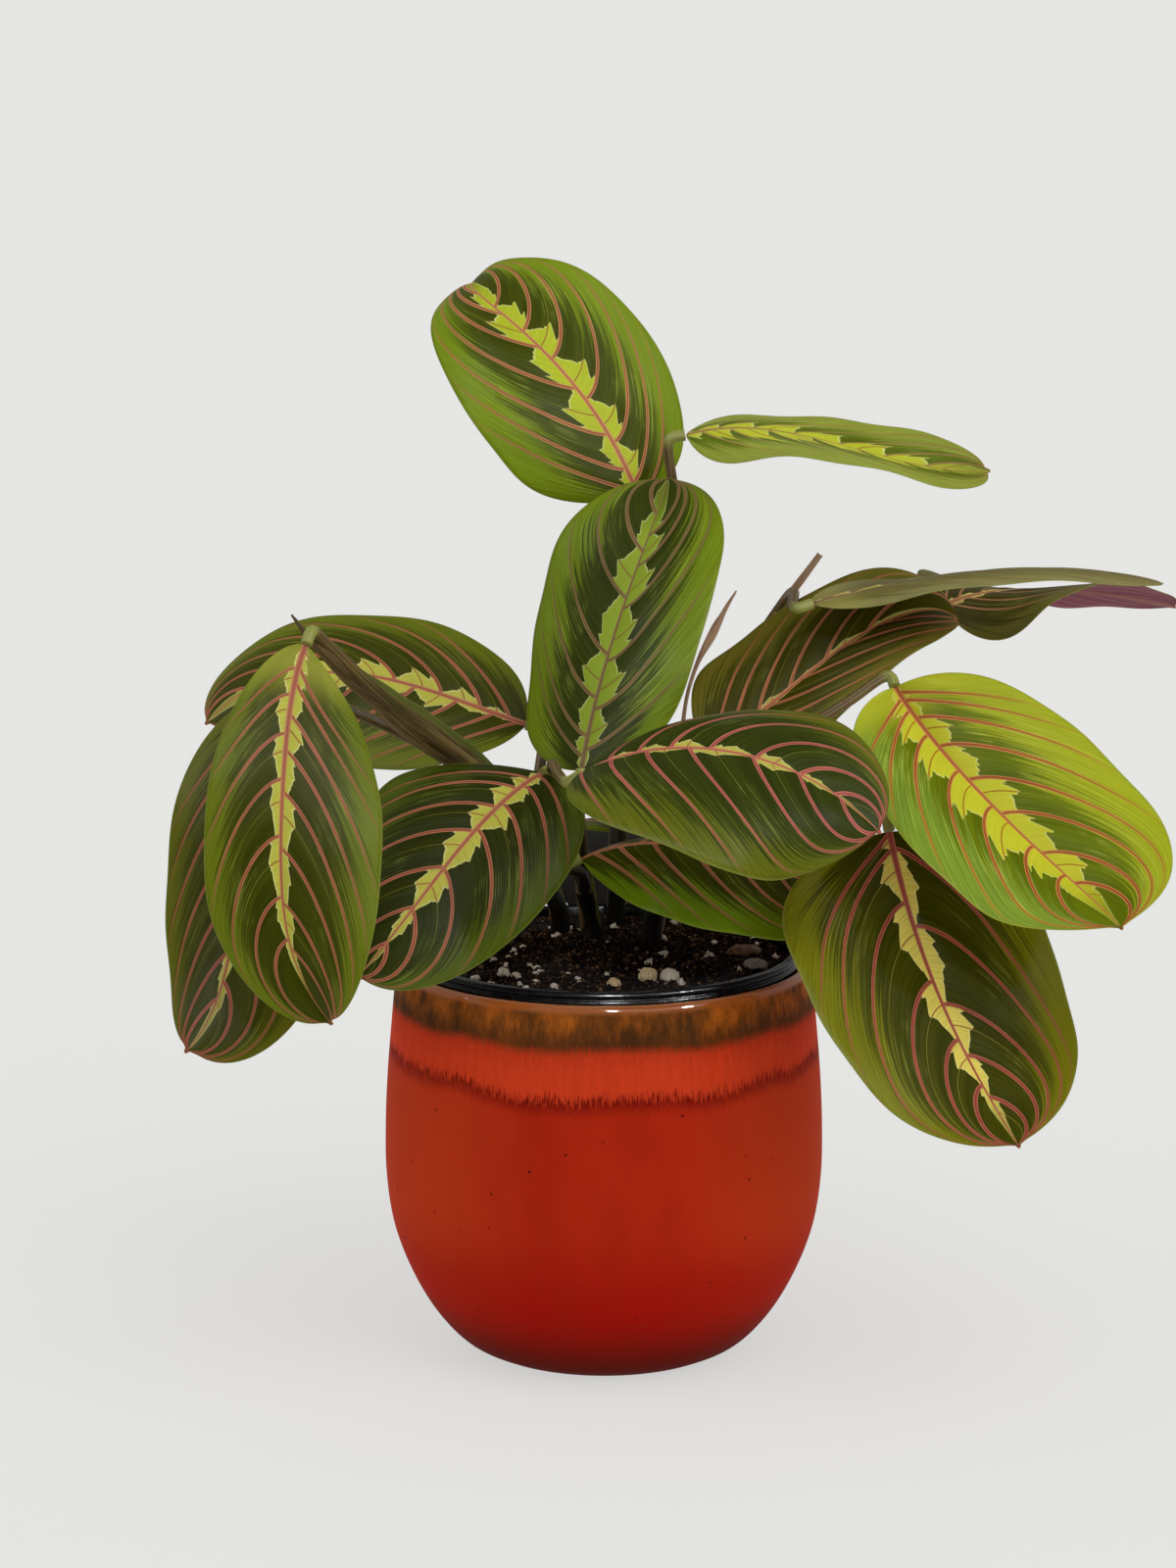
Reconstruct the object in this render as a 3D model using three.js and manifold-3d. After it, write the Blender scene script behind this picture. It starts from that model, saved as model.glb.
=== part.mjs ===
// A potted prayer plant (maranta): broad patterned leaves on thin petioles, rooted in soil in a black
// nursery pot, which stands inside a round glazed ceramic pot. Millimetres, +Z up; the origin is the
// centre of the ceramic pot's flat base, +X is the viewer's right and +Y points away from the viewer.
import * as THREE from 'three';
import { mergeVertices } from 'three/addons/utils/BufferGeometryUtils.js';
import Module from 'manifold-3d';

const wasm = await Module();
wasm.setup();

// ---- driving dimensions ----------------------------------------------------------------------
const GAP = 0.3; // clearance between pieces that touch

const CERAMIC = {
  wall: 3.6,
  floor: 6,
  // outer radius at each height, from the flat base to the lip
  outer: [[37.3, 0], [45.1, 4], [52.8, 12], [60.1, 24], [66.2, 40], [68.6, 56], [68.8, 72],
    [68.1, 88], [66.8, 104], [65.5, 118], [64.9, 122]],
  // radius and height round the lip and down to the throat
  lip: [[64.4, 124], [63.9, 125], [62.9, 125], [62.3, 124], [62.3, 116]],
  throat: 104, // highest and lowest place where the wall has its full thickness
  wallFoot: 12,
  innerFoot: [[44.5, 7.4], [41, 6]],
};
const NURSERY = {
  wall: 1.3,
  bottomRadius: 40,
  shoulderRadius: 59.6,
  lipRadius: 61.8,
  lipTop: 128.5,
  bandHeight: 8,
  // how far each place of the ridged band lies inside the lip radius and under the lip top
  band: [[0.8, 7.2], [0.8, 4.6], [0, 3.8], [0, 2.8], [0.8, 2.2], [0, 1.4], [0.4, 0.3], [1.2, 0], [3.2, 0], [3.5, 1]],
  drainHoles: 6,
  drainRadius: 4,
  drainCircle: 26,
};
const SOIL = {
  rimLevel: 124.6,
  moundHeight: 3.2,
  moundAt: [0, 14],
  moundSpread: 30,
  rough: 0.8,
  waves: 0.48, // height of the long waves
  waveTurns: [0.31, 0.27], // radians for each millimetre
  waveStarts: [1.3, -0.4],
  slantTurns: [0.13, -0.19],
  slantShare: 0.6,
  rings: 6,
  seed: 7,
};

const BLADE = {
  thickness: 0.7,
  rib: 1.3,
  ribTaper: 0.8,
  ribShare: 0.06,
  towardsBase: [2.35, 0.58], // powers that round the outline
  towardsTip: [2.6, 0.5],
  endWidth: 0.9,
  bodyShare: 0.985, // the rest of the length is the bare tip
  tipShare: 0.06,
  tipWidth: 2.2,
  tipEnd: 0.4,
};
const STEM = { bottom: 108, straight: 132, bend: 8, taper: 0.5 }; // upright in its hole up to straight
const PETIOLE = { radii: [2.3, 1.7], neck: 5 }; // at the shoot and at the blade
const SHEATH_THICKNESS = 1.8;
const SHORTEST_EDGE = 0.02; // slivers under this are dropped where petioles join

// One row for each leaf. base: where the blade meets its petiole; half: widths of the left and right
// halves. heading (0 = +X, 90 = +Y), pitch and roll are in degrees at the base, middle and tip.
// fold and curl are the angles at which each half leaves the midrib and bends on towards its margin:
// left at base and tip, then right at base and tip. widest moves the broadest place to the base.
const LEAVES = {
  leaf_top: { base: [11, 56, 263], length: 118, half: [34, 36],
    heading: [144, 144, 77], pitch: [64, 36, -6], roll: [-20, -25, -20],
    fold: [-20, 5, 0, 20], curl: [-50, -15, -15, 0], widest: 0.8 },
  leaf_center: { base: [-7, -20, 189], length: 107, half: [39, 32],
    heading: [72, 60, 78], pitch: [59, 54, 31], roll: [-15, -15, 0],
    fold: [-5, 20, 0, 15], curl: [-20, -25, -35, -35], widest: 0.3 },
  leaf_upper_right: { base: [26, 45, 284], length: 99, half: [16, 28],
    heading: [-1, -1, 18], pitch: [16, -15, 2], roll: [25, 5, 35],
    fold: [-10, 40, 0, 15], curl: [-10, 25, -20, -5], widest: 0.4 },
  leaf_back_left: { base: [-25, 34, 193], length: 109, half: [33, 29],
    heading: [167, 187, 192], pitch: [16, 9, -50], roll: [-40, -45, -40],
    fold: [10, -20, 10, -20], curl: [5, -25, -5, -25], widest: 0.1 },
  leaf_front_left: { base: [-88, -74, 237], length: 123, half: [30, 23],
    heading: [-112, -106, -168], pitch: [-41, -86, -128], roll: [-20, 0, -25],
    fold: [-5, 10, 5, 25], curl: [-50, -10, -25, 0], widest: -0.2 },
  leaf_far_left: { base: [-98, -26, 210], length: 113, half: [31, 23],
    heading: [-134, -108, -155], pitch: [-37, -73, -42], roll: [-40, -10, -40],
    fold: [10, -30, 15, -10], curl: [-10, -25, -15, -20], widest: 0 },
  leaf_over_rim: { base: [-19, -22, 188], length: 105, half: [31, 36],
    heading: [237, 231, 246], pitch: [-6, -34, -15], roll: [-5, -35, -15],
    fold: [10, -15, 20, -20], curl: [-20, -20, -45, -35], widest: 0.6 },
  leaf_ridge: { base: [-7, -58, 195], length: 100, half: [37, 49],
    heading: [-28, -7, -3], pitch: [32, -10, -47], roll: [20, 30, 45],
    fold: [15, 0, 25, 0], curl: [-120, 10, -30, -25], widest: 0.4 },
  leaf_low: { base: [-7, -14, 160], length: 89, half: [24, 32],
    heading: [-5, -3, 8], pitch: [26, -14, -26], roll: [35, 45, 40],
    fold: [-40, -35, 10, 15], curl: [-30, -10, -10, -5], widest: 0 },
  leaf_bright_right: { base: [90, -6, 212], length: 120, half: [37, 38],
    heading: [-64, -44, -75], pitch: [-34, -32, -11], roll: [35, 25, 15],
    fold: [40, 15, 25, 15], curl: [-50, -5, 0, -15], widest: -0.1 },
  leaf_low_right: { base: [87, -32, 172], length: 113, half: [42, 46],
    heading: [-70, -56, -73], pitch: [-61, -51, -20], roll: [20, 5, 20],
    fold: [10, 10, 5, 5], curl: [-10, -5, 0, 5], widest: 0.5 },
  leaf_mid_right: { base: [31, 2, 191], length: 107, half: [27, 21],
    heading: [30, 24, 55], pitch: [19, 31, -30], roll: [55, 20, 50],
    fold: [10, 40, -5, 15], curl: [-15, -45, -15, -25], widest: 0.6 },
  leaf_flat_right: { base: [65, 14, 235], length: 117, half: [21, 18],
    heading: [18, 5, 35], pitch: [13, 3, -17], roll: [0, -15, -5],
    fold: [5, 5, 5, 5], curl: [5, -10, -45, -50], widest: 0.3 },
  leaf_far_right: { base: [109, 62, 226], length: 94, half: [24, 24],
    heading: [58, 17, 45], pitch: [11, -5, -17], roll: [40, -10, 5],
    fold: [0, -20, -10, 20], curl: [0, 5, -20, 0], widest: 0.8 },
  leaf_hidden_left: { base: [-18, 58, 154], length: 96, half: [28, 28],
    heading: [125, 130, 140], pitch: [15, -25, -60], roll: [0, 5, 0],
    fold: [5, 5, 5, 5], curl: [-20, -20, -20, -20], widest: 0.2 },
  leaf_hidden_back: { base: [6, 66, 152], length: 92, half: [27, 27],
    heading: [92, 88, 85], pitch: [10, -40, -75], roll: [0, 0, 0],
    fold: [5, 5, 5, 5], curl: [-20, -20, -20, -20], widest: 0.2 },
  leaf_hidden_right: { base: [34, 56, 154], length: 98, half: [28, 28],
    heading: [60, 55, 45], pitch: [15, -25, -60], roll: [0, -5, 0],
    fold: [5, 5, 5, 5], curl: [-20, -20, -20, -20], widest: 0.2 },
};

// Each shoot is a stem foot in the soil and the petioles that leave its lean. A petiole runs through
// its points to the base of its blade. Sheaths are the flat brown leaf-stalk wings: a row of places and
// widths, seen broadside from the front.
const SHOOTS = {
  shoot_left: {
    foot: [-14, 28], lean: [-20, 25, 150], radius: 3.4,
    petioles: {
      leaf_back_left: [[-21, 27, 172]],
      leaf_front_left: [[-28, 12, 172], [-42, -12, 190], [-66, -42, 215], [-83, -62, 236]],
      leaf_far_left: [[-27, 15, 168], [-44, -7, 187], [-68, -24, 204], [-88, -23, 212]],
      leaf_hidden_left: [[-20, 44, 150]],
    },
    sheaths: [
      [[-28, 13, 172, 5], [-42.5, -11, 190, 10], [-59, -30, 206, 11], [-67, -41, 215, 8.5],
        [-76, -51, 224, 6.5], [-82, -59, 231, 5], [-87, -65, 237, 3.5], [-92.5, -68, 245, 0.9]],
      [[-14, 28, 130, 6], [-16, 25, 142, 5], [-20, 20, 166, 1.2]],
    ],
  },
  shoot_middle: {
    foot: [-4, 17], lean: [-6, 12, 144], radius: 3.6,
    petioles: {
      leaf_center: [[-7, 0, 162], [-8, -14, 178]],
      leaf_over_rim: [[-12, -2, 168], [-17, -14, 184]],
      leaf_ridge: [[-10, -2, 168], [-14, -13, 182], [-16, -24, 191], [-15, -36, 193], [-14, -47, 193]],
      leaf_low: [[-7, 0, 152]],
    },
    sheaths: [[[-4, 16.5, 130, 6.6], [-6, 10, 146, 6], [-9, 0, 170, 1.2]]],
  },
  shoot_right: {
    foot: [15, 5], lean: [20, 17, 148], radius: 3.6,
    petioles: {
      leaf_bright_right: [[33, 10, 168], [46, -8, 183], [62, -9, 199], [76, -6, 208]],
      leaf_low_right: [[34, 12, 164], [60, 2, 178], [80, -18, 181]],
      leaf_mid_right: [[22, 12, 170], [26, 3, 184]],
      leaf_flat_right: [[30, 34, 180], [46, 56, 210], [57, 54, 228], [60, 37, 235]],
      leaf_far_right: [[32, 34, 172], [60, 60, 200], [92, 62, 220]],
      leaf_hidden_right: [[28, 38, 152]],
    },
    sheaths: [
      [[22, 16, 160, 3], [24, 12, 190, 3], [26, 9, 210, 2.4], [34, 8, 229, 3.2], [40, 8, 238, 0.9]],
      [[54, 55, 222, 2.6], [60, 53, 232, 2.4], [69, 50, 245, 1.4]],
      [[15, 5, 130, 6], [17, 7, 138, 5], [20, 14, 156, 1.2]],
    ],
  },
  shoot_tall: {
    foot: [4, 38], lean: [5, 38, 160], radius: 3.4,
    petioles: {
      leaf_top: [[8, 44, 215], [14, 54, 247]],
      leaf_upper_right: [[12, 42, 215], [22, 45, 262]],
      leaf_hidden_back: [[6, 50, 146]],
    },
    sheaths: [[[4, 38, 130, 6], [5, 38, 160, 6], [9, 40, 205, 1.2]]],
  },
};

const PEBBLES = {
  pebble_white: { at: [20, -30], size: [6.4, 5.6, 5.4], color: 0xe6dcc4 },
  pebble_tan: { at: [13.4, -32], size: [6.6, 5.4, 5.6], color: 0xbfa878 },
  pebble_golden: { at: [3, -40], size: [5.2, 4.6, 4.4], color: 0xa98a4f },
  perlite_lump: { at: [-31, -26], size: [4.6, 4.2, 4.4], color: 0xd8d2b8 },
  stone_grey: { at: [47, -14], size: [8.4, 5.2, 4.4], color: 0x8c8878 },
  bark_chip: { at: [44, 4], size: [13, 7, 4.8], color: 0x5f4c30 },
};

const PEBBLE = { uneven: 0.18, raised: 0.22, turn: 0.7, seed: 31 };

const LATHE_SIDES = 36;
const HOLE_SIDES = 16;
const STEM_SIDES = 8;
const PETIOLE_SIDES = 6;
const MIDRIB_STEPS = 60;
const BLADE_LENGTHS = 12; // strips along a blade
const BLADE_SHARES = [0, BLADE.ribShare, 0.52, 1]; // places across each half, from midrib to margin

// ---- shared helpers --------------------------------------------------------------------------
const DEG = Math.PI / 180;
const vec = (x, y, z) => new THREE.Vector3(x, y, z);

function seededRandom(seed) {
  let state = seed;
  return () => {
    state = (state * 1664525 + 1013904223) % 4294967296;
    return state / 4294967296;
  };
}

function material(color, roughness, metalness = 0) {
  return new THREE.MeshStandardMaterial({ color, roughness, metalness });
}

function solidOf(geometry) {
  const plain = geometry.clone();
  plain.deleteAttribute('normal');
  plain.deleteAttribute('uv');
  const merged = mergeVertices(plain, 1e-4);
  return new wasm.Manifold(new wasm.Mesh({
    numProp: 3,
    vertProperties: new Float32Array(merged.attributes.position.array),
    triVerts: new Uint32Array(merged.index.array),
  }));
}

function geometryOf(solid) {
  const mesh = solid.getMesh();
  const geometry = new THREE.BufferGeometry();
  const coordinates = new Float32Array(mesh.numVert * 3);
  for (let i = 0; i < mesh.numVert; i += 1) {
    for (let axis = 0; axis < 3; axis += 1) {
      coordinates[i * 3 + axis] = mesh.vertProperties[i * mesh.numProp + axis];
    }
  }
  geometry.setAttribute('position', new THREE.BufferAttribute(coordinates, 3));
  geometry.setIndex(new THREE.BufferAttribute(new Uint32Array(mesh.triVerts), 1));
  geometry.computeVertexNormals();
  return geometry;
}

function geometryFrom(points, triangles) {
  const geometry = new THREE.BufferGeometry();
  geometry.setAttribute('position', new THREE.Float32BufferAttribute(points.flatMap((p) => p.toArray()), 3));
  geometry.setIndex(triangles);
  geometry.computeVertexNormals();
  return geometry;
}

// Closed skin over a row of rings with equal point counts, each turning the same way round.
function skinRings(rings) {
  const sides = rings[0].length;
  const points = rings.flat();
  const triangles = [];
  for (let ring = 0; ring < rings.length - 1; ring += 1) {
    for (let side = 0; side < sides; side += 1) {
      const next = (side + 1) % sides;
      const a = ring * sides + side;
      const b = ring * sides + next;
      triangles.push(a, b, b + sides, a, b + sides, a + sides);
    }
  }
  const last = (rings.length - 1) * sides;
  for (let side = 1; side < sides - 1; side += 1) {
    triangles.push(0, side + 1, side);
    triangles.push(last, last + side, last + side + 1);
  }
  return geometryFrom(points, triangles);
}

function revolve(profile) {
  const points = profile.map(([radius, height]) => new THREE.Vector2(radius, height));
  return new THREE.LatheGeometry(points, LATHE_SIDES).rotateX(Math.PI / 2);
}

function smoothProfile(controls, count) {
  const curve = new THREE.SplineCurve(controls.map(([radius, height]) => new THREE.Vector2(radius, height)));
  return curve.getPoints(count).map((p) => [p.x, p.y]);
}

// ---- pots ------------------------------------------------------------------------------------
function ceramicPot() {
  const { outer, wall, throat, wallFoot, lip, innerFoot, floor } = CERAMIC;
  const innerWall = outer
    .filter(([, height]) => height >= wallFoot && height <= throat)
    .map(([radius, height]) => [radius - wall, height])
    .reverse();
  return revolve([[0, 0], ...smoothProfile(outer, 13), ...lip, ...innerWall, ...innerFoot, [0, floor]]);
}

const nurseryFloor = CERAMIC.floor + GAP;
const nurseryBandLow = NURSERY.lipTop - NURSERY.bandHeight;
const nurseryInside = nurseryFloor + NURSERY.wall;

function nurseryInnerRadius(height) {
  const share = Math.min((height - nurseryInside) / (nurseryBandLow - nurseryInside), 1);
  return THREE.MathUtils.lerp(NURSERY.bottomRadius, NURSERY.shoulderRadius, share) - NURSERY.wall;
}

function nurseryPot() {
  const band = NURSERY.band.map(([inside, under]) => [NURSERY.lipRadius - inside, NURSERY.lipTop - under]);
  const shell = revolve([
    [0, nurseryFloor], [NURSERY.bottomRadius, nurseryFloor], [NURSERY.shoulderRadius, nurseryBandLow], ...band,
    [nurseryInnerRadius(nurseryBandLow), nurseryBandLow],
    [nurseryInnerRadius(nurseryInside), nurseryInside], [0, nurseryInside],
  ]);
  let solid = solidOf(shell);
  const hole = new THREE.CylinderGeometry(NURSERY.drainRadius, NURSERY.drainRadius, NURSERY.wall * 4, HOLE_SIDES)
    .rotateX(Math.PI / 2);
  for (let i = 0; i < NURSERY.drainHoles; i += 1) {
    const angle = (i / NURSERY.drainHoles) * Math.PI * 2;
    const placed = hole.clone().translate(
      NURSERY.drainCircle * Math.cos(angle), NURSERY.drainCircle * Math.sin(angle), nurseryFloor);
    solid = solid.subtract(solidOf(placed));
  }
  return geometryOf(solid);
}

// ---- soil and what lies on it ----------------------------------------------------------------
function soilTop(x, y) {
  const [moundX, moundY] = SOIL.moundAt;
  const distance = Math.hypot(x - moundX, y - moundY) / SOIL.moundSpread;
  const [turnX, turnY] = SOIL.waveTurns;
  const [startX, startY] = SOIL.waveStarts;
  const [slantX, slantY] = SOIL.slantTurns;
  const waves = Math.sin(x * turnX + startX) * Math.cos(y * turnY + startY)
    + SOIL.slantShare * Math.sin(x * slantX + y * slantY);
  return SOIL.rimLevel + SOIL.moundHeight * Math.exp(-distance * distance) + SOIL.waves * waves;
}

function soilBody() {
  const { rings } = SOIL;
  const sides = LATHE_SIDES;
  const bottom = nurseryInside + GAP;
  const innerRadius = (height) => nurseryInnerRadius(height) - GAP;
  const rimRadius = innerRadius(nurseryBandLow);
  const points = [vec(0, 0, soilTop(0, 0))];
  const random = seededRandom(SOIL.seed);
  for (let ring = 1; ring <= rings; ring += 1) {
    const radius = (ring / rings) * rimRadius;
    for (let side = 0; side < sides; side += 1) {
      const angle = (side / sides) * Math.PI * 2;
      const x = radius * Math.cos(angle);
      const y = radius * Math.sin(angle);
      points.push(vec(x, y, soilTop(x, y) + (ring < rings ? (random() - 0.5) * SOIL.rough : 0)));
    }
  }
  const levels = [[innerRadius(nurseryBandLow), nurseryBandLow], [innerRadius(bottom), bottom]];
  for (const [radius, height] of levels) {
    for (let side = 0; side < sides; side += 1) {
      const angle = (side / sides) * Math.PI * 2;
      points.push(vec(radius * Math.cos(angle), radius * Math.sin(angle), height));
    }
  }
  const triangles = [];
  for (let side = 0; side < sides; side += 1) triangles.push(0, 1 + side, 1 + ((side + 1) % sides));
  const ringCount = rings + levels.length;
  for (let ring = 0; ring < ringCount - 1; ring += 1) {
    for (let side = 0; side < sides; side += 1) {
      const a = 1 + ring * sides + side;
      const b = 1 + ring * sides + ((side + 1) % sides);
      triangles.push(a, a + sides, b + sides, a, b + sides, b);
    }
  }
  const last = 1 + (ringCount - 1) * sides;
  for (let side = 1; side < sides - 1; side += 1) triangles.push(last, last + side + 1, last + side);
  return geometryFrom(points, triangles);
}

function pebbleGeometry({ at, size }, index, margin) {
  const random = seededRandom(PEBBLE.seed + index);
  const geometry = mergeVertices(stripped(new THREE.IcosahedronGeometry(1, 1)), 1e-4);
  const position = geometry.attributes.position;
  for (let i = 0; i < position.count; i += 1) {
    const bump = 1 + (random() - 0.5) * PEBBLE.uneven;
    position.setXYZ(
      i,
      position.getX(i) * (size[0] / 2 * bump + margin),
      position.getY(i) * (size[1] / 2 * bump + margin),
      position.getZ(i) * (size[2] / 2 * bump + margin));
  }
  geometry.rotateZ(index * PEBBLE.turn);
  return geometry.translate(at[0], at[1], soilTop(at[0], at[1]) + size[2] * PEBBLE.raised);
}

function stripped(geometry) {
  geometry.deleteAttribute('normal');
  geometry.deleteAttribute('uv');
  return geometry;
}

function soilGeometry() {
  let solid = solidOf(soilBody());
  for (const shoot of Object.values(SHOOTS)) {
    const radius = shoot.radius + GAP;
    const depth = SOIL.rimLevel - STEM.bottom + GAP;
    const hole = new THREE.CylinderGeometry(radius, radius, depth * 2, HOLE_SIDES).rotateX(Math.PI / 2);
    hole.translate(shoot.foot[0], shoot.foot[1], STEM.bottom - GAP + depth);
    solid = solid.subtract(solidOf(hole));
  }
  Object.values(PEBBLES).forEach((pebble, index) => {
    solid = solid.subtract(solidOf(pebbleGeometry(pebble, index, GAP)));
  });
  return geometryOf(solid);
}

// ---- stems -----------------------------------------------------------------------------------
function tube(points, radiusAt, count, sides) {
  const curve = new THREE.CatmullRomCurve3(points, false, 'centripetal');
  const frames = curve.computeFrenetFrames(count, false);
  const rings = [];
  for (let i = 0; i <= count; i += 1) {
    const share = i / count;
    const centre = curve.getPointAt(share);
    const radius = radiusAt(share);
    const ring = [];
    for (let side = 0; side < sides; side += 1) {
      const angle = (side / sides) * Math.PI * 2;
      ring.push(centre.clone()
        .addScaledVector(frames.normals[i], radius * Math.cos(angle))
        .addScaledVector(frames.binormals[i], radius * Math.sin(angle)));
    }
    rings.push(ring);
  }
  return skinRings(rings);
}

function directionOf(heading, pitch) {
  const h = heading * DEG;
  const p = pitch * DEG;
  return vec(Math.cos(p) * Math.cos(h), Math.cos(p) * Math.sin(h), Math.sin(p));
}

function petioleGeometry(shoot, leafName) {
  const leaf = LEAVES[leafName];
  const forward = directionOf(leaf.heading[0], leaf.pitch[0]);
  const end = vec(...leaf.base).addScaledVector(forward, -GAP);
  const lean = vec(...shoot.lean);
  const points = [
    lean,
    ...shoot.petioles[leafName].map((p) => vec(...p)),
    end.clone().addScaledVector(forward, -PETIOLE.neck),
    end,
  ];
  const radiusAt = (share) => THREE.MathUtils.lerp(...PETIOLE.radii, share);
  return tube(points, radiusAt, Math.round(points.length * 1.5), PETIOLE_SIDES);
}

// A thin flat wing along its row of places, its broad side square to the way it runs.
function sheathGeometry(places) {
  const centres = places.map((p) => vec(p[0], p[1], p[2]));
  const rings = centres.map((centre, i) => {
    const ahead = centres[Math.min(i + 1, centres.length - 1)];
    const behind = centres[Math.max(i - 1, 0)];
    const along = ahead.clone().sub(behind).normalize();
    const broad = along.clone().cross(vec(0, 1, 0)).normalize();
    const thin = along.clone().cross(broad);
    const half = places[i][3] / 2;
    const depth = Math.min(half, SHEATH_THICKNESS / 2);
    const corner = (across, through) => centre.clone()
      .addScaledVector(broad, half * across).addScaledVector(thin, depth * through);
    return [corner(1, 0), corner(0.5, 1), corner(-0.5, 1), corner(-1, 0), corner(-0.5, -1), corner(0.5, -1)];
  });
  return skinRings(rings);
}

function shootGeometry(name) {
  const shoot = SHOOTS[name];
  const [x, y] = shoot.foot;
  const stem = tube(
    [vec(x, y, STEM.bottom), vec(x, y, STEM.straight - STEM.bend), vec(x, y, STEM.straight), vec(...shoot.lean)],
    (share) => shoot.radius - STEM.taper * share, 5, STEM_SIDES);
  let solid = solidOf(stem);
  for (const leafName of Object.keys(shoot.petioles)) {
    solid = solid.add(solidOf(petioleGeometry(shoot, leafName)));
  }
  for (const places of shoot.sheaths) solid = solid.add(solidOf(sheathGeometry(places)));
  // where petioles and sheaths close round a small hollow, the hollow is solid stem
  const whole = solid.decompose().reduce((a, b) => (a.volume() > b.volume() ? a : b));
  return geometryOf(whole.simplify(SHORTEST_EDGE));
}

// ---- leaves ----------------------------------------------------------------------------------
function quadratic([start, middle, end], v) {
  return start * (1 - v) * (1 - 2 * v) + middle * 4 * v * (1 - v) + end * v * (2 * v - 1);
}

// A blade is a little blunter towards its tip than towards its base.
function halfWidthShare(v, widest) {
  const body = Math.min(v / BLADE.bodyShare, 1);
  const off = 2 * (body + widest * body * (1 - body)) - 1;
  const [swell, round] = off < 0 ? BLADE.towardsBase : BLADE.towardsTip;
  return Math.max(1 - Math.abs(off) ** swell, 0) ** round;
}

function tipSpike(v) {
  const rest = (1 - v) / BLADE.tipShare;
  return rest < 1 ? BLADE.tipEnd + BLADE.tipWidth * rest ** 0.8 : 0;
}

// Frames along the midrib: place, forward direction, upper side and right side.
function midribFrames(leaf, count) {
  const along = (v) => directionOf(quadratic(leaf.heading, v), quadratic(leaf.pitch, v));
  const frames = [];
  const place = vec(...leaf.base);
  const steps = MIDRIB_STEPS;
  let walked = 0;
  for (let i = 0; i <= count; i += 1) {
    const v = (1 - Math.cos((Math.PI * i) / count)) / 2;
    const target = Math.round(v * steps);
    for (; walked < target; walked += 1) place.addScaledVector(along((walked + 0.5) / steps), leaf.length / steps);
    const exact = walked / steps;
    const heading = quadratic(leaf.heading, exact) * DEG;
    const pitch = quadratic(leaf.pitch, exact) * DEG;
    const roll = quadratic(leaf.roll, exact) * DEG;
    const up = vec(-Math.sin(pitch) * Math.cos(heading), -Math.sin(pitch) * Math.sin(heading), Math.cos(pitch));
    const right = along(exact).cross(up);
    const rolledUp = up.clone().multiplyScalar(Math.cos(roll)).addScaledVector(right, Math.sin(roll));
    const rolledRight = right.clone().multiplyScalar(Math.cos(roll)).addScaledVector(up, -Math.sin(roll));
    frames.push({ v: exact, place: place.clone(), up: rolledUp, right: rolledRight });
  }
  return frames;
}

// Points from the midrib out to one margin, with the surface's upper normal at each.
function halfSection(leaf, frame, sign) {
  const side = sign < 0 ? 0 : 2;
  const fold = THREE.MathUtils.lerp(leaf.fold[side], leaf.fold[side + 1], frame.v) * DEG;
  const curl = THREE.MathUtils.lerp(leaf.curl[side], leaf.curl[side + 1], frame.v) * DEG;
  const half = sign < 0 ? leaf.half[0] : leaf.half[1];
  const width = Math.max(half * halfWidthShare(frame.v, leaf.widest), tipSpike(frame.v), BLADE.endWidth * (1 - frame.v));
  const outward = frame.right.clone().multiplyScalar(sign);
  const section = [];
  const point = frame.place.clone();
  BLADE_SHARES.forEach((share, index) => {
    if (index > 0) {
      const step = (share - BLADE_SHARES[index - 1]) * width;
      const angle = fold + curl * (share + BLADE_SHARES[index - 1]) / 2;
      point.addScaledVector(outward, step * Math.cos(angle)).addScaledVector(frame.up, step * Math.sin(angle));
    }
    const tilt = fold + curl * share;
    const normal = index === 0 ? frame.up.clone() : frame.up.clone().multiplyScalar(Math.cos(tilt))
      .addScaledVector(outward, -Math.sin(tilt));
    section.push({ point: point.clone(), normal, share });
  });
  return section;
}

// A ring round the blade at each frame: over the upper face to the right, back along the lower face.
function bladeRing(leaf, frame) {
  const left = halfSection(leaf, frame, -1);
  const right = halfSection(leaf, frame, 1);
  const across = [...left.slice(1).reverse(), ...right];
  const top = across.map((s) => s.point.clone().addScaledVector(s.normal, BLADE.thickness / 2));
  const ribDepth = BLADE.rib * (1 - BLADE.ribTaper * frame.v);
  const bottom = across.map((s) => {
    const depth = BLADE.thickness / 2 + (s.share === 0 ? ribDepth : 0);
    return s.point.clone().addScaledVector(s.normal, -depth);
  });
  return [...top, ...bottom.reverse()];
}

function bladeGeometry(leaf) {
  const rings = midribFrames(leaf, BLADE_LENGTHS).map((frame) => bladeRing(leaf, frame));
  const perRing = rings[0].length;
  const across = perRing / 2;
  const points = rings.flat();
  const triangles = [];
  const addQuad = (a, b, c, d) => triangles.push(a, b, c, a, c, d);
  for (let ring = 0; ring < rings.length - 1; ring += 1) {
    const here = ring * perRing;
    const ahead = here + perRing;
    for (let k = 0; k < across - 1; k += 1) {
      addQuad(here + k, here + k + 1, ahead + k + 1, ahead + k);
      const low = perRing - 1 - k;
      addQuad(here + low, ahead + low, ahead + low - 1, here + low - 1);
    }
    addQuad(here + across - 1, here + across, ahead + across, ahead + across - 1);
    addQuad(here + perRing - 1, here, ahead, ahead + perRing - 1);
  }
  const last = (rings.length - 1) * perRing;
  for (let k = 0; k < across - 1; k += 1) {
    const low = perRing - 1 - k;
    addQuad(k, low, low - 1, k + 1);
    addQuad(last + k, last + k + 1, last + low - 1, last + low);
  }
  return geometryFrom(points, triangles);
}

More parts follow.
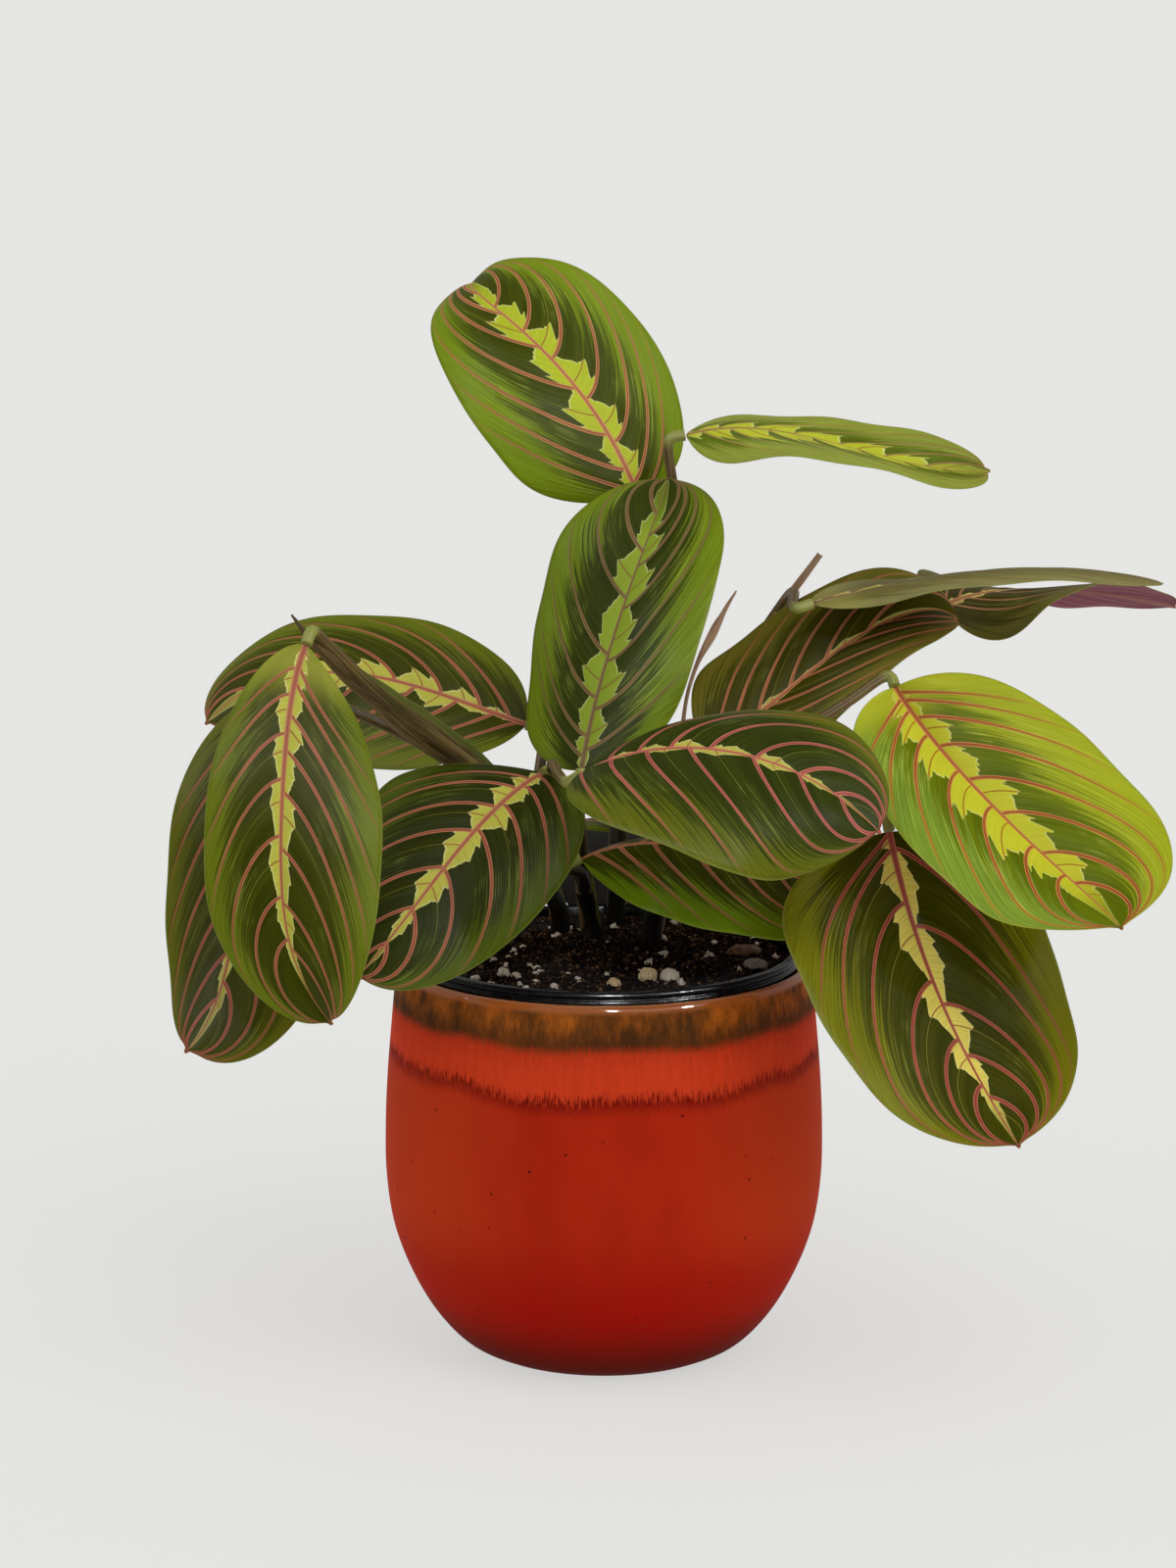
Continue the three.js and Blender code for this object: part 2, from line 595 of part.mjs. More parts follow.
// ---- the whole plant -------------------------------------------------------------------------
const GLAZE = material(0xa82a14, 0.15);
const BLACK_PLASTIC = material(0x222226, 0.4);
const POTTING_SOIL = material(0x2a1f18, 0.95);
const STEM_SKIN = material(0x6a5a3c, 0.6);
const BRIGHT_LEAF = material(0x7f9a25, 0.45);
const DARK_LEAF = material(0x3d5418, 0.45);
const BRIGHT_LEAVES = ['leaf_top', 'leaf_center', 'leaf_upper_right', 'leaf_bright_right'];

const plant = new THREE.Group();

function addPiece(name, geometry, skin) {
  const mesh = new THREE.Mesh(geometry, skin);
  mesh.name = name;
  plant.add(mesh);
}

addPiece('ceramic_pot', ceramicPot(), GLAZE);
addPiece('nursery_pot', nurseryPot(), BLACK_PLASTIC);
addPiece('soil', soilGeometry(), POTTING_SOIL);
Object.entries(PEBBLES).forEach(([name, pebble], index) => {
  addPiece(name, pebbleGeometry(pebble, index, 0), material(pebble.color, 0.85));
});
for (const name of Object.keys(SHOOTS)) addPiece(name, shootGeometry(name), STEM_SKIN);
for (const [name, leaf] of Object.entries(LEAVES)) {
  addPiece(name, bladeGeometry(leaf), BRIGHT_LEAVES.includes(name) ? BRIGHT_LEAF : DARK_LEAF);
}

export default plant;
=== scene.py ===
"""The finish of a potted prayer plant: patterned blades on thin stalks, potting soil in a black
nursery pot, and the round glazed pot that holds it. In the tables, lengths are millimetres, angles
are degrees and colours are screen colours from 0 to 255."""
import math
from contextlib import contextmanager

import bmesh
import bpy
import numpy as np
from bpy.props import FloatProperty, FloatVectorProperty, IntProperty, PointerProperty
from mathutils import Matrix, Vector, noise


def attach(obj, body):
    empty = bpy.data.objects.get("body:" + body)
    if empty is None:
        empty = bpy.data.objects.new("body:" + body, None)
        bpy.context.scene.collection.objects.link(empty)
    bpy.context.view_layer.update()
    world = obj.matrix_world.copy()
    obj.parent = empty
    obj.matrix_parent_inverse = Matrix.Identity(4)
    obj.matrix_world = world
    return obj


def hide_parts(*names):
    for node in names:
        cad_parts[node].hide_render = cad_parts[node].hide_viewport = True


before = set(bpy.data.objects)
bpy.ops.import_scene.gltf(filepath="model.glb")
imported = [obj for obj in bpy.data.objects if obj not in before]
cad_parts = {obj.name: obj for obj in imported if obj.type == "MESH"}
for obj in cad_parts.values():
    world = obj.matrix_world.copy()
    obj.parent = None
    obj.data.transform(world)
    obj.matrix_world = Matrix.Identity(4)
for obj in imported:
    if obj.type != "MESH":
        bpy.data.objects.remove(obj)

bl_info = {
    "name": "Potted prayer plant",
    "version": (1, 0, 0),
    "blender": (4, 5, 0),
    "location": "3D View > Sidebar > Prayer plant",
    "description": "Blades, stalks, soil and pots of a potted prayer plant",
    "category": "Object",
}

MM = 0.001


def paint(red, green, blue):
    """A screen colour as the linear values that shaders use."""
    return tuple(
        c / 255 / 12.92 if c <= 10 else ((c / 255 + 0.055) / 1.055) ** 2.4 for c in (red, green, blue)
    )


def between(first, second, share):
    """The colour that lies at this share of the way from one to another."""
    return tuple(a + (b - a) * share for a, b in zip(first, second))


# ---- node graphs -------------------------------------------------------------------------------
class Value:
    """A number socket that takes part in sums; each sum adds one Math node."""

    def __init__(self, graph, socket):
        self.graph, self.socket = graph, socket


for sign, operation in (("add", "ADD"), ("sub", "SUBTRACT"), ("mul", "MULTIPLY"), ("truediv", "DIVIDE")):
    setattr(Value, f"__{sign}__", lambda a, b, kind=operation: a.graph.maths(kind, a, b))
    setattr(Value, f"__r{sign}__", lambda a, b, kind=operation: a.graph.maths(kind, b, a))


class Graph:
    """A node tree with short ways to add nodes."""

    def __init__(self, tree):
        self.tree = tree

    def node(self, kind, settings=None, inputs=None):
        """Adds a node; settings are set first, then socket values or links."""
        made = self.tree.nodes.new(kind)
        for key, setting in (settings or {}).items():
            setattr(made, key, setting)
        for key, given in (inputs or {}).items():
            given = given.socket if isinstance(given, Value) else given
            if isinstance(given, bpy.types.NodeSocket):
                self.tree.links.new(given, made.inputs[key])
            else:
                made.inputs[key].default_value = given
        return made

    def maths(self, operation, *numbers):
        made = self.node("ShaderNodeMath", {"operation": operation}, dict(enumerate(numbers)))
        return Value(self, made.outputs[0])

    def split(self, socket):
        outputs = self.node("ShaderNodeSeparateXYZ", None, {0: socket}).outputs
        return [Value(self, outputs[axis]) for axis in range(3)]

    def join(self, x=0.0, y=0.0, z=0.0):
        return self.node("ShaderNodeCombineXYZ", None, {0: x, 1: y, 2: z}).outputs[0]


class Finish(Graph):
    """One material: a graph that ends in a Principled surface."""

    def __init__(self, name):
        self.material = bpy.data.materials.new(name)
        self.material.use_nodes = True
        super().__init__(self.material.node_tree)
        self.tree.nodes.clear()

    def place(self):
        """Object coordinates in millimetres."""
        given = self.node("ShaderNodeTexCoord").outputs["Object"]
        scaled = self.node("ShaderNodeMapping", None, {"Vector": given, "Scale": (1 / MM,) * 3})
        return scaled.outputs[0]

    def sheet(self, name):
        """The coordinates that a mesh keeps under a name: along it and across it."""
        return self.split(self.node("ShaderNodeUVMap", {"uv_map": name}).outputs["UV"])[:2]

    def attribute(self, name, output):
        return self.node("ShaderNodeAttribute", {"attribute_name": name}).outputs[output]

    def ease(self, number, low, high, start=0.0, end=1.0):
        """Runs smoothly from start to end while the number goes from low to high."""
        made = self.node(
            "ShaderNodeMapRange", {"interpolation_type": "SMOOTHSTEP"},
            {"Value": number, "From Min": low, "From Max": high, "To Min": start, "To Max": end},
        )
        return Value(self, made.outputs["Result"])

    def fall(self, number, low, high, start=1.0):
        """Runs smoothly from start to 0 while the number goes from low to high."""
        return self.ease(number, low, high, start, 0.0)

    def ramp(self, number, *stops):
        """A colour read from stops, each a place from 0 to 1 with its colour."""
        made = self.node("ShaderNodeValToRGB", None, {"Fac": number})
        elements = made.color_ramp.elements
        while len(elements) < len(stops):
            elements.new(1.0)
        for element, (place, colour) in zip(elements, stops):
            element.position = place
            element.color = (*colour, 1)
        return made.outputs["Color"]

    def level(self, number, *stops):
        """A number read from stops, each a place from 0 to 1 with its level."""
        greys = self.ramp(number, *((place, (grey,) * 3) for place, grey in stops))
        return Value(self, greys) * 1.0  # the product makes a number of the colour

    def grain(self, place, scale=1.0, detail=2.0, rough=0.5):
        """Noise from about 0.2 to 0.8; the place is a socket or up to three numbers."""
        place = self.join(*place) if isinstance(place, tuple) else place
        made = self.node(
            "ShaderNodeTexNoise", None,
            {"Vector": place, "Scale": scale, "Detail": detail, "Roughness": rough},
        )
        return Value(self, made.outputs["Fac"])

    def fibres(self, *place, scale=1.0, detail=3.0):
        """Streaks from 0 to 1, long in the directions where the place changes slowly."""
        return self.ease(self.grain(place, scale, detail, 0.6), 0.3, 0.7)

    def chance(self, *place):
        """A random number from 0 to 1 for each whole place."""
        whole = self.join(*place)
        made = self.node("ShaderNodeTexWhiteNoise", {"noise_dimensions": "3D"}, {"Vector": whole})
        return Value(self, made.outputs["Value"])

    def blend(self, share, *colours):
        """A colour between two."""
        first, second = (c if isinstance(c, bpy.types.NodeSocket) else (*c, 1) for c in colours)
        made = self.node("ShaderNodeMix", {"data_type": "RGBA"}, {0: share, 6: first, 7: second})
        return made.outputs[2]

    def layers(self, colour, *layers):
        """Lays colours over the first one, each by its share."""
        for share, over in layers:
            colour = self.blend(share, colour, over)
        return colour

    def shade(self, colour, number):
        """A colour made lighter or darker by a number."""
        made = self.node("ShaderNodeVectorMath", {"operation": "SCALE"}, {0: colour, "Scale": number})
        return made.outputs[0]

    def surface(self, colour, roughness, height=None, depth=0.3, **constants):
        """Ends the graph; height is a number in 0..1 and depth what it stands for in millimetres."""
        inputs = {"Base Color": colour, "Roughness": roughness}
        inputs.update({key.replace("_", " "): number for key, number in constants.items()})
        if height is not None:
            bump = self.node("ShaderNodeBump", None, {"Height": height, "Distance": depth * MM})
            inputs["Normal"] = bump.outputs[0]
        shader = self.node("ShaderNodeBsdfPrincipled", None, inputs)
        self.node("ShaderNodeOutputMaterial", None, {"Surface": shader.outputs[0]})
        return self.material


class Growth(Graph):
    """A geometry tree with named inputs that ends in one geometry of one material."""

    def __init__(self, name, **inputs):
        super().__init__(bpy.data.node_groups.new(name, "GeometryNodeTree"))
        for key, kind in {**inputs, "Finish": "Material"}.items():
            self.tree.interface.new_socket(key, in_out="INPUT", socket_type="NodeSocket" + kind)
        self.tree.interface.new_socket("Result", in_out="OUTPUT", socket_type="NodeSocketGeometry")
        self.given = self.node("NodeGroupInput").outputs

    def step(self, kind, inputs=None, **settings):
        """Adds a geometry node and gives its first output."""
        return self.node("GeometryNode" + kind, settings, inputs).outputs[0]

    def random(self, kind, limits, output):
        """A random value for each point between two limits, given by the numbers of their sockets."""
        inputs = {**limits, "Seed": self.given["Seed"]}
        return self.node("FunctionNodeRandomValue", {"data_type": kind}, inputs).outputs[output]

    def end(self, geometry):
        """Ends the tree with a plain mesh of the given material."""
        real = self.step("RealizeInstances", {"Geometry": geometry})
        done = self.step("SetMaterial", {"Geometry": real, "Material": self.given["Finish"]})
        self.node("NodeGroupOutput", None, {0: done})
        return self.tree


# ---- meshes ------------------------------------------------------------------------------------
def link(name, mesh):
    made = bpy.data.objects.new(name, mesh)
    bpy.context.scene.collection.objects.link(made)
    return made


@contextmanager
def shaping(mesh, start=None):
    """A bmesh for a block of edits, read from the mesh or from another one and written to the mesh."""
    shaped = bmesh.new()
    shaped.from_mesh(mesh if start is None else start)
    yield shaped
    shaped.to_mesh(mesh)
    shaped.free()


def mesh_of(name, points, faces, turn_out=False):
    """A smooth mesh from points in millimetres, if asked with its faces turned outwards."""
    mesh = bpy.data.meshes.new(name)
    mesh.from_pydata((np.asarray(points) * MM).tolist(), [], [tuple(f) for f in faces])
    mesh.validate()
    mesh.shade_smooth()
    if turn_out:
        with shaping(mesh) as shaped:
            bmesh.ops.recalc_face_normals(shaped, faces=shaped.faces)
    return mesh


def keep(made, slot, *nodes):
    """Fixes a finished piece to the body of the plant and hides the nodes it stands for. The slot is not
    used.
    """
    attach(made, "root")
    if nodes:
        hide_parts(*nodes)
    return made


def settled(made):
    """Turns an object with modifiers into a plain mesh."""
    depsgraph = bpy.context.evaluated_depsgraph_get()
    shaped = made.evaluated_get(depsgraph)
    mesh = bpy.data.meshes.new_from_object(shaped, preserve_all_data_layers=True, depsgraph=depsgraph)
    made.modifiers.clear()
    made.data = mesh
    return made


KNOT_SPANS = (((0, 1), (1, 2), (2, 3)), ((0, 2), (1, 3)), ((1, 2),))


def spline(points, per_span):
    """A smooth row of points through the given ones (centripetal Catmull-Rom)."""
    def mixed(t, start, end, first, second):
        return (end - t) / (end - start) * first + (t - start) / (end - start) * second

    points = [np.asarray(p, float) for p in points]
    ends = [2 * points[0] - points[1], *points, 2 * points[-1] - points[-2]]
    row = []
    for near in zip(ends, ends[1:], ends[2:], ends[3:]):
        knots = [0.0]
        for first, second in zip(near, near[1:]):
            knots.append(knots[-1] + max(np.linalg.norm(second - first), 1e-6) ** 0.5)
        t = np.linspace(knots[1], knots[2], per_span, endpoint=False)[:, None]
        for spans in KNOT_SPANS:
            pairs = zip(spans, near, near[1:])
            near = [mixed(t, knots[i], knots[j], first, second) for (i, j), first, second in pairs]
        row.extend(near[0])
    row.append(points[-1])
    return np.array(row)


def level_rings(radii, heights, sides):
    """Rings of points about the upright axis, one for each radius and height."""
    angle = np.arange(sides) * 2 * math.pi / sides
    radii, heights = np.array(radii, float)[:, None], np.array(heights, float)[:, None]
    return np.stack([radii * np.cos(angle), radii * np.sin(angle), heights + 0 * angle], -1)


def stacked(name, rings, start, end):
    """A closed body of rings, closed at two heights on the upright axis."""
    sides = rings.shape[1]
    points = np.vstack([[0, 0, start], rings.reshape(-1, 3), [0, 0, end]])
    last = len(points) - 1
    turns = [(side, (side + 1) % sides) for side in range(sides)]
    faces = [(0, 1 + side, 1 + following) for side, following in turns]
    for ring in range(len(rings) - 1):
        first = 1 + ring * sides
        faces.extend((first + a, first + a + sides, first + b + sides, first + b) for a, b in turns)
    faces.extend((last, last - sides + following, last - sides + side) for side, following in turns)
    return mesh_of(name, points, faces, turn_out=True)


def turned(name, profile, sides):
    """A closed body turned about the upright axis; the profile runs from axis to axis."""
    profile = np.asarray(profile, float)
    return stacked(name, level_rings(*profile[1:-1].T, sides), profile[0][1], profile[-1][1])


def sheet_faces(rows, columns):
    """Faces of a closed sheet: its upper grid of points, its lower one, and the rims between them."""
    size = rows * columns
    row, column = (a.ravel() for a in np.mgrid[:rows - 1, :columns - 1])
    corners = (row, column), (row, column + 1), (row + 1, column + 1), (row + 1, column)
    upper = np.stack([r * columns + c for r, c in corners], 1)
    sides, ends = np.arange(rows - 1) * columns, np.arange(columns - 1)
    rims = []
    for edge, step, flip in ((sides, columns, False), (sides + columns - 1, columns, True),
                             (ends, 1, False), (ends + (rows - 1) * columns, 1, True)):
        quad = np.stack([edge, edge + step, edge + step + size, edge + size], 1)
        rims.append(quad[:, ::-1] if flip else quad)
    return np.concatenate([upper, upper[:, ::-1] + size, *rims])


# ---- blades ------------------------------------------------------------------------------------
# The shapes are those of the blade solids. base: where the midrib starts. half: the half widths to
# its left and right. heading, pitch and roll: at base, middle and tip. fold and curl: at base and
# tip, first of the left half and then of the right one. widest: moves the broadest place, towards
# the base above 0. tone: from 0 for a young yellow-green blade to 1 for an old dark one.
# The rest is painted. lime: how far the yellow lobes reach at four places from base to tip, as
# shares of the half width. skew: how much further on the right. full: the share of that reach that
# is yellow between the lobes too. jag: how ragged the lobes are. bold: breadth of the side veins.
# fresh: how bright the base is. veins: for the left and right halves, where the side veins leave
# the midrib, then the lean and bend towards the tip of the first and of the last one. colours:
# those that differ from the usual ones of the tone; outer_right is for the right half alone.
# slot: dark_leaf where none is given.
USUAL_VEINS = (((0.02, 0.1, 0.21, 0.34, 0.49, 0.64, 0.78), (0.05, 0.3), (0.2, 0.5)),
               ((0.05, 0.14, 0.26, 0.4, 0.55, 0.7, 0.83), (0.05, 0.3), (0.2, 0.5)))
HIDDEN = dict(fold=(5, 5, 5, 5), curl=(-20, -20, -20, -20), widest=0.2, lime=(0.25, 0.28, 0.2, 0.05))


def swept_veins(last_lean):
    starts = (0.02, 0.1, 0.2, 0.32, 0.46, 0.62), (0.04, 0.13, 0.24, 0.37, 0.52, 0.66)
    return tuple((half, (0.2, 0.25), (last_lean, 0.3)) for half in starts)


BLADES = {
    "leaf_top": dict(
        base=(11, 56, 263), length=118, half=(34, 36), heading=(144, 144, 77), pitch=(64, 36, -6),
        roll=(-20, -25, -20), fold=(-20, 5, 0, 20), curl=(-50, -15, -15, 0), widest=0.8, tone=0.35,
        lime=(0.22, 0.25, 0.24, 0.14), slot="bright_leaf",
        veins=(((0.02, 0.08, 0.185, 0.34, 0.5, 0.66, 0.8), (-0.05, 0.5), (0.45, 0.7)),
               ((-0.1, 0.04, 0.16, 0.3, 0.45, 0.57, 0.7), (0, 0.55), (0.12, 0.36)))),
    "leaf_center": dict(
        base=(-7, -20, 189), length=107, half=(39, 32), heading=(72, 60, 78), pitch=(59, 54, 31),
        roll=(-15, -15, 0), fold=(-5, 20, 0, 15), curl=(-20, -25, -35, -35), widest=0.3, tone=0.45,
        lime=(0.25, 0.27, 0.24, 0.12), skew=0.13, full=0.3, slot="bright_leaf",
        veins=(((0.04, 0.1, 0.22, 0.355, 0.54, 0.7, 0.84), (0.05, 0.35), (0.32, 0.3)),
               ((0.06, 0.185, 0.335, 0.505, 0.65, 0.76), (0, 0.3), (0, 1.3))),
        colours=dict(lime=(142, 162, 46), dark=(48, 56, 2), outer=(112, 132, 18), vein=(138, 116, 74),
                     core=(116, 88, 54))),
    "leaf_upper_right": dict(
        base=(26, 45, 284), length=99, half=(16, 28), heading=(-1, -1, 18), pitch=(16, -15, 2),
        roll=(25, 5, 35), fold=(-10, 40, 0, 15), curl=(-10, 25, -20, -5), widest=0.4, tone=0.2,
        lime=(0.45, 0.5, 0.4, 0.3), bold=0.55, slot="bright_leaf",
        colours=dict(outer=(146, 156, 56), dark=(88, 104, 10), vein=(170, 150, 80), core=(150, 112, 60))),
    "leaf_back_left": dict(
        base=(-25, 34, 193), length=109, half=(33, 29), heading=(167, 187, 192), pitch=(16, 9, -50),
        roll=(-40, -45, -40), fold=(10, -20, 10, -20), curl=(5, -25, -5, -25), widest=0.1, tone=0.85,
        lime=(0.1, 0.24, 0.2, 0.1)),
    "leaf_front_left": dict(
        base=(-88, -74, 237), length=123, half=(30, 23), heading=(-112, -106, -168),
        pitch=(-41, -86, -128), roll=(-20, 0, -25), fold=(-5, 10, 5, 25), curl=(-50, -10, -25, 0),
        widest=-0.2, tone=0.8, lime=(0.28, 0.16, 0.13, 0), bold=0.85, full=0.4, fresh=0.8,
        veins=(((0.06, 0.105, 0.19, 0.28, 0.38, 0.515, 0.65, 0.77), (0.2, 0.12), (0.15, 0.6)),
               ((0.07, 0.14, 0.24, 0.35, 0.485, 0.635, 0.745), (0, 0.18), (0.06, 0.45)))),
    "leaf_far_left": dict(
        base=(-98, -26, 210), length=113, half=(31, 23), heading=(-134, -108, -155),
        pitch=(-37, -73, -42), roll=(-40, -10, -40), fold=(10, -30, 15, -10), curl=(-10, -25, -15, -20),
        widest=0, tone=1.0, lime=(0.1, 0.08, 0.12, 0.06), bold=0.85),
    "leaf_over_rim": dict(
        base=(-19, -22, 188), length=105, half=(31, 36), heading=(237, 231, 246), pitch=(-6, -34, -15),
        roll=(-5, -35, -15), fold=(10, -15, 20, -20), curl=(-20, -20, -45, -35), widest=0.6, tone=0.85,
        lime=(0.23, 0.19, 0.14, 0.03), skew=-0.2,
        veins=(((0.03, 0.1, 0.205, 0.33, 0.505, 0.675, 0.82), (0, 0.25), (0.26, 0.35)),
               ((0.06, 0.125, 0.23, 0.345, 0.5, 0.665, 0.82), (0.05, 0.3), (0.38, 0.1))),
        colours=dict(dark=(41, 46, 2), outer=(76, 90, 12))),
    "leaf_ridge": dict(
        base=(-7, -58, 195), length=100, half=(37, 49), heading=(-28, -7, -3), pitch=(32, -10, -47),
        roll=(20, 30, 45), fold=(15, 0, 25, 0), curl=(-120, 10, -30, -25), widest=0.4, tone=0.95,
        lime=(0.07, 0.09, 0.08, 0.02), full=0,
        veins=(((0.1, 0.2, 0.3, 0.42, 0.56, 0.7, 0.82), (0.1, 0.3), (0.2, 0.4)),
               ((0.02, 0.12, 0.23, 0.36, 0.55, 0.695, 0.84), (0, 0.2), (0.25, 0.6))),
        colours=dict(dark=(48, 56, 4), vein=(200, 120, 100), core=(164, 80, 72))),
    "leaf_low": dict(
        base=(-7, -14, 160), length=89, half=(24, 32), heading=(-5, -3, 8), pitch=(26, -14, -26),
        roll=(35, 45, 40), fold=(-40, -35, 10, 15), curl=(-30, -10, -10, -5), widest=0, tone=0.5,
        lime=(0, 0, 0, 0),
        colours=dict(outer=(112, 144, 10))),
    "leaf_bright_right": dict(
        base=(90, -6, 212), length=120, half=(37, 38), heading=(-64, -44, -75), pitch=(-34, -32, -11),
        roll=(35, 25, 15), fold=(40, 15, 25, 15), curl=(-50, -5, 0, -15), widest=-0.1, tone=0.0,
        lime=(0.28, 0.32, 0.3, 0.06), skew=0.2, jag=0.14, bold=1.05, full=0.38, fresh=0.8,
        slot="bright_leaf",
        veins=(((0.02, 0.05, 0.115, 0.22, 0.345, 0.475, 0.635, 0.765), (0.05, 0.25), (0.25, 0.7)),
               ((0.04, 0.085, 0.175, 0.31, 0.445, 0.605, 0.73), (0.08, 0.12), (0, 0.95))),
        colours=dict(outer_right=(124, 150, 46))),
    "leaf_low_right": dict(
        base=(87, -32, 172), length=113, half=(42, 46), heading=(-70, -56, -73), pitch=(-61, -51, -20),
        roll=(20, 5, 20), fold=(10, 10, 5, 5), curl=(-10, -5, 0, 5), widest=0.5, tone=0.7,
        lime=(0.17, 0.17, 0.14, 0.04), bold=1.05,
        veins=(((0.05, 0.27, 0.5, 0.66, 0.8), (0, 0.86), (0.25, 0.4)),
               ((0, 0.05, 0.2, 0.43, 0.61, 0.76), (0.1, 0.4), (0.1, 1.2))),
        colours=dict(dark=(62, 64, 2), outer=(120, 120, 6), lime=(244, 226, 104), vein=(190, 110, 84),
                     core=(154, 70, 58))),
    "leaf_mid_right": dict(
        base=(31, 2, 191), length=107, half=(27, 21), heading=(30, 24, 55), pitch=(19, 31, -30),
        roll=(55, 20, 50), fold=(10, 40, -5, 15), curl=(-15, -45, -15, -25), widest=0.6, tone=0.8,
        lime=(0.14, 0.04, 0.08, 0.04), bold=0.8, veins=swept_veins(0.45),
        colours=dict(dark=(64, 64, 4), outer=(114, 108, 26), vein=(204, 140, 98), core=(170, 98, 60))),
    "leaf_flat_right": dict(
        base=(65, 14, 235), length=117, half=(21, 18), heading=(18, 5, 35), pitch=(13, 3, -17),
        roll=(0, -15, -5), fold=(5, 5, 5, 5), curl=(5, -10, -45, -50), widest=0.3, tone=0.9,
        lime=(0.3, 0.1, 0.05, 0), veins=swept_veins(0.45), bold=0.7, fresh=0.6,
        # its pale grey-green colours are painted sheen of a blade seen at a grazing angle
        colours=dict(dark=(100, 96, 44), outer=(138, 132, 80), vein=(150, 118, 84), core=(118, 84, 58))),
    "leaf_far_right": dict(
        base=(109, 62, 226), length=94, half=(24, 24), heading=(58, 17, 45), pitch=(11, -5, -17),
        roll=(40, -10, 5), fold=(0, -20, -10, 20), curl=(0, 5, -20, 0), widest=0.8, tone=0.9,
        lime=(0.12, 0.06, 0.04, 0), bold=0.6, veins=swept_veins(0.4),
        colours=dict(dark=(56, 52, 7), outer=(98, 94, 34), vein=(176, 128, 88), core=(144, 96, 56))),
    "leaf_hidden_left": dict(
        HIDDEN, base=(-18, 58, 154), length=96, half=(28, 28), heading=(125, 130, 140),
        pitch=(15, -25, -60), roll=(0, 5, 0), tone=0.8),
    "leaf_hidden_back": dict(
        HIDDEN, base=(6, 66, 152), length=92, half=(27, 27), heading=(92, 88, 85), pitch=(10, -40, -75),
        roll=(0, 0, 0), tone=0.7),
    "leaf_hidden_right": dict(
        HIDDEN, base=(34, 56, 154), length=98, half=(28, 28), heading=(60, 55, 45),
        pitch=(15, -25, -60), roll=(0, -5, 0), tone=0.6),
}
BLADE_ROWS = 96
BLADE_COLUMNS = 24  # on each half
CROWDED = 1.35  # columns lie closer together towards the midrib
WALK_STEPS = 240
BODY_SHARE, TIP_SHARE, TIP_WIDTH, TIP_END, END_WIDTH = 0.985, 0.06, 2.2, 0.4, 0.9
BASE_ROUND, TIP_ROUND = (2.35, 0.58), (2.6, 0.5)  # how square and how blunt the outline is
FULL_QUILT = 10  # distance between side veins from which a blade swells fully
RIPPLES = 3.2  # waves along a margin
GROOVE_DEPTH, GROOVE_WIDTH, RIB_HEIGHT, RIB_WIDTH, RIB_TAPER = 0.25, 1.3, 1.1, 0.9, 0.8
MARGIN_TAPER = 0.55  # how much thinner a blade is at its margin
PAST_LAST_VEIN = 0.45  # the number of the side veins ends here, short of half way to one more


def quadratic(values, v):
    start, middle, end = values
    return start * (1 - v) * (1 - 2 * v) + middle * 4 * v * (1 - v) + end * v * (2 * v - 1)


def smooth(number, low, high):
    t = np.clip((number - low) / (high - low), 0, 1)
    return t * t * (3 - 2 * t)


def pointing(heading, pitch):
    """The direction with this heading and pitch in radians."""
    return np.stack(
        [np.cos(pitch) * np.cos(heading), np.cos(pitch) * np.sin(heading), np.sin(pitch)], -1
    )


def half_width(v, half, widest):
    """The width of one half along the blade: a rounded body with a drawn-out tip."""
    body = np.minimum(v / BODY_SHARE, 1)
    off = 2 * (body + widest * body * (1 - body)) - 1
    round_ends = [
        np.maximum(1 - np.abs(off) ** square, 0) ** blunt for square, blunt in (BASE_ROUND, TIP_ROUND)
    ]
    rest = (1 - v) / TIP_SHARE
    spike = np.where(rest < 1, TIP_END + TIP_WIDTH * np.maximum(rest, 0) ** 0.8, 0)
    return np.maximum.reduce([half * np.where(off < 0, *round_ends), spike, END_WIDTH * (1 - v)])


def midrib(shape, v):
    """Places along the midrib, with the directions that are up and right for the blade there."""
    def angles(t):
        return [np.radians(quadratic(shape[key], t)) for key in ("heading", "pitch")]

    stops = np.arange(WALK_STEPS + 1) / WALK_STEPS
    middles = (stops[1:] + stops[:-1]) / 2
    walked = np.vstack([np.zeros(3), np.cumsum(pointing(*angles(middles)), 0)])
    walked *= shape["length"] / WALK_STEPS
    place = np.array(shape["base"]) + np.stack([np.interp(v, stops, walked[:, k]) for k in range(3)], -1)
    heading, pitch = angles(v)
    up = pointing(heading, pitch + math.pi / 2)
    right = np.cross(pointing(heading, pitch), up)
    roll = np.radians(quadratic(shape["roll"], v))[:, None]
    return place, np.cos(roll) * up + np.sin(roll) * right, np.cos(roll) * right - np.sin(roll) * up


def half_sheet(shape, side, v, shares):
    """Points and upward normals of one half of the blade's middle sheet, from midrib to margin."""
    place, up, right = midrib(shape, v)
    first = 0 if side < 0 else 2
    fold, curl = (
        np.radians(np.interp(v, (0, 1), shape[key][first:first + 2]))[:, None] for key in ("fold", "curl")
    )
    width = half_width(v, shape["half"][first // 2], shape["widest"])
    middles = (shares[1:] + shares[:-1]) / 2
    step = np.diff(shares) * width[:, None]
    across = np.cumsum(step * np.cos(fold + curl * middles), 1)
    rise = np.cumsum(step * np.sin(fold + curl * middles), 1)
    across, rise = (np.hstack([np.zeros((len(v), 1)), a])[..., None] for a in (across, rise))
    outward = (right * side)[:, None]
    tilt = (fold + curl * shares)[..., None]
    points = place[:, None] + across * outward + rise * up[:, None]
    return points, np.cos(tilt) * up[:, None] - np.sin(tilt) * outward, width


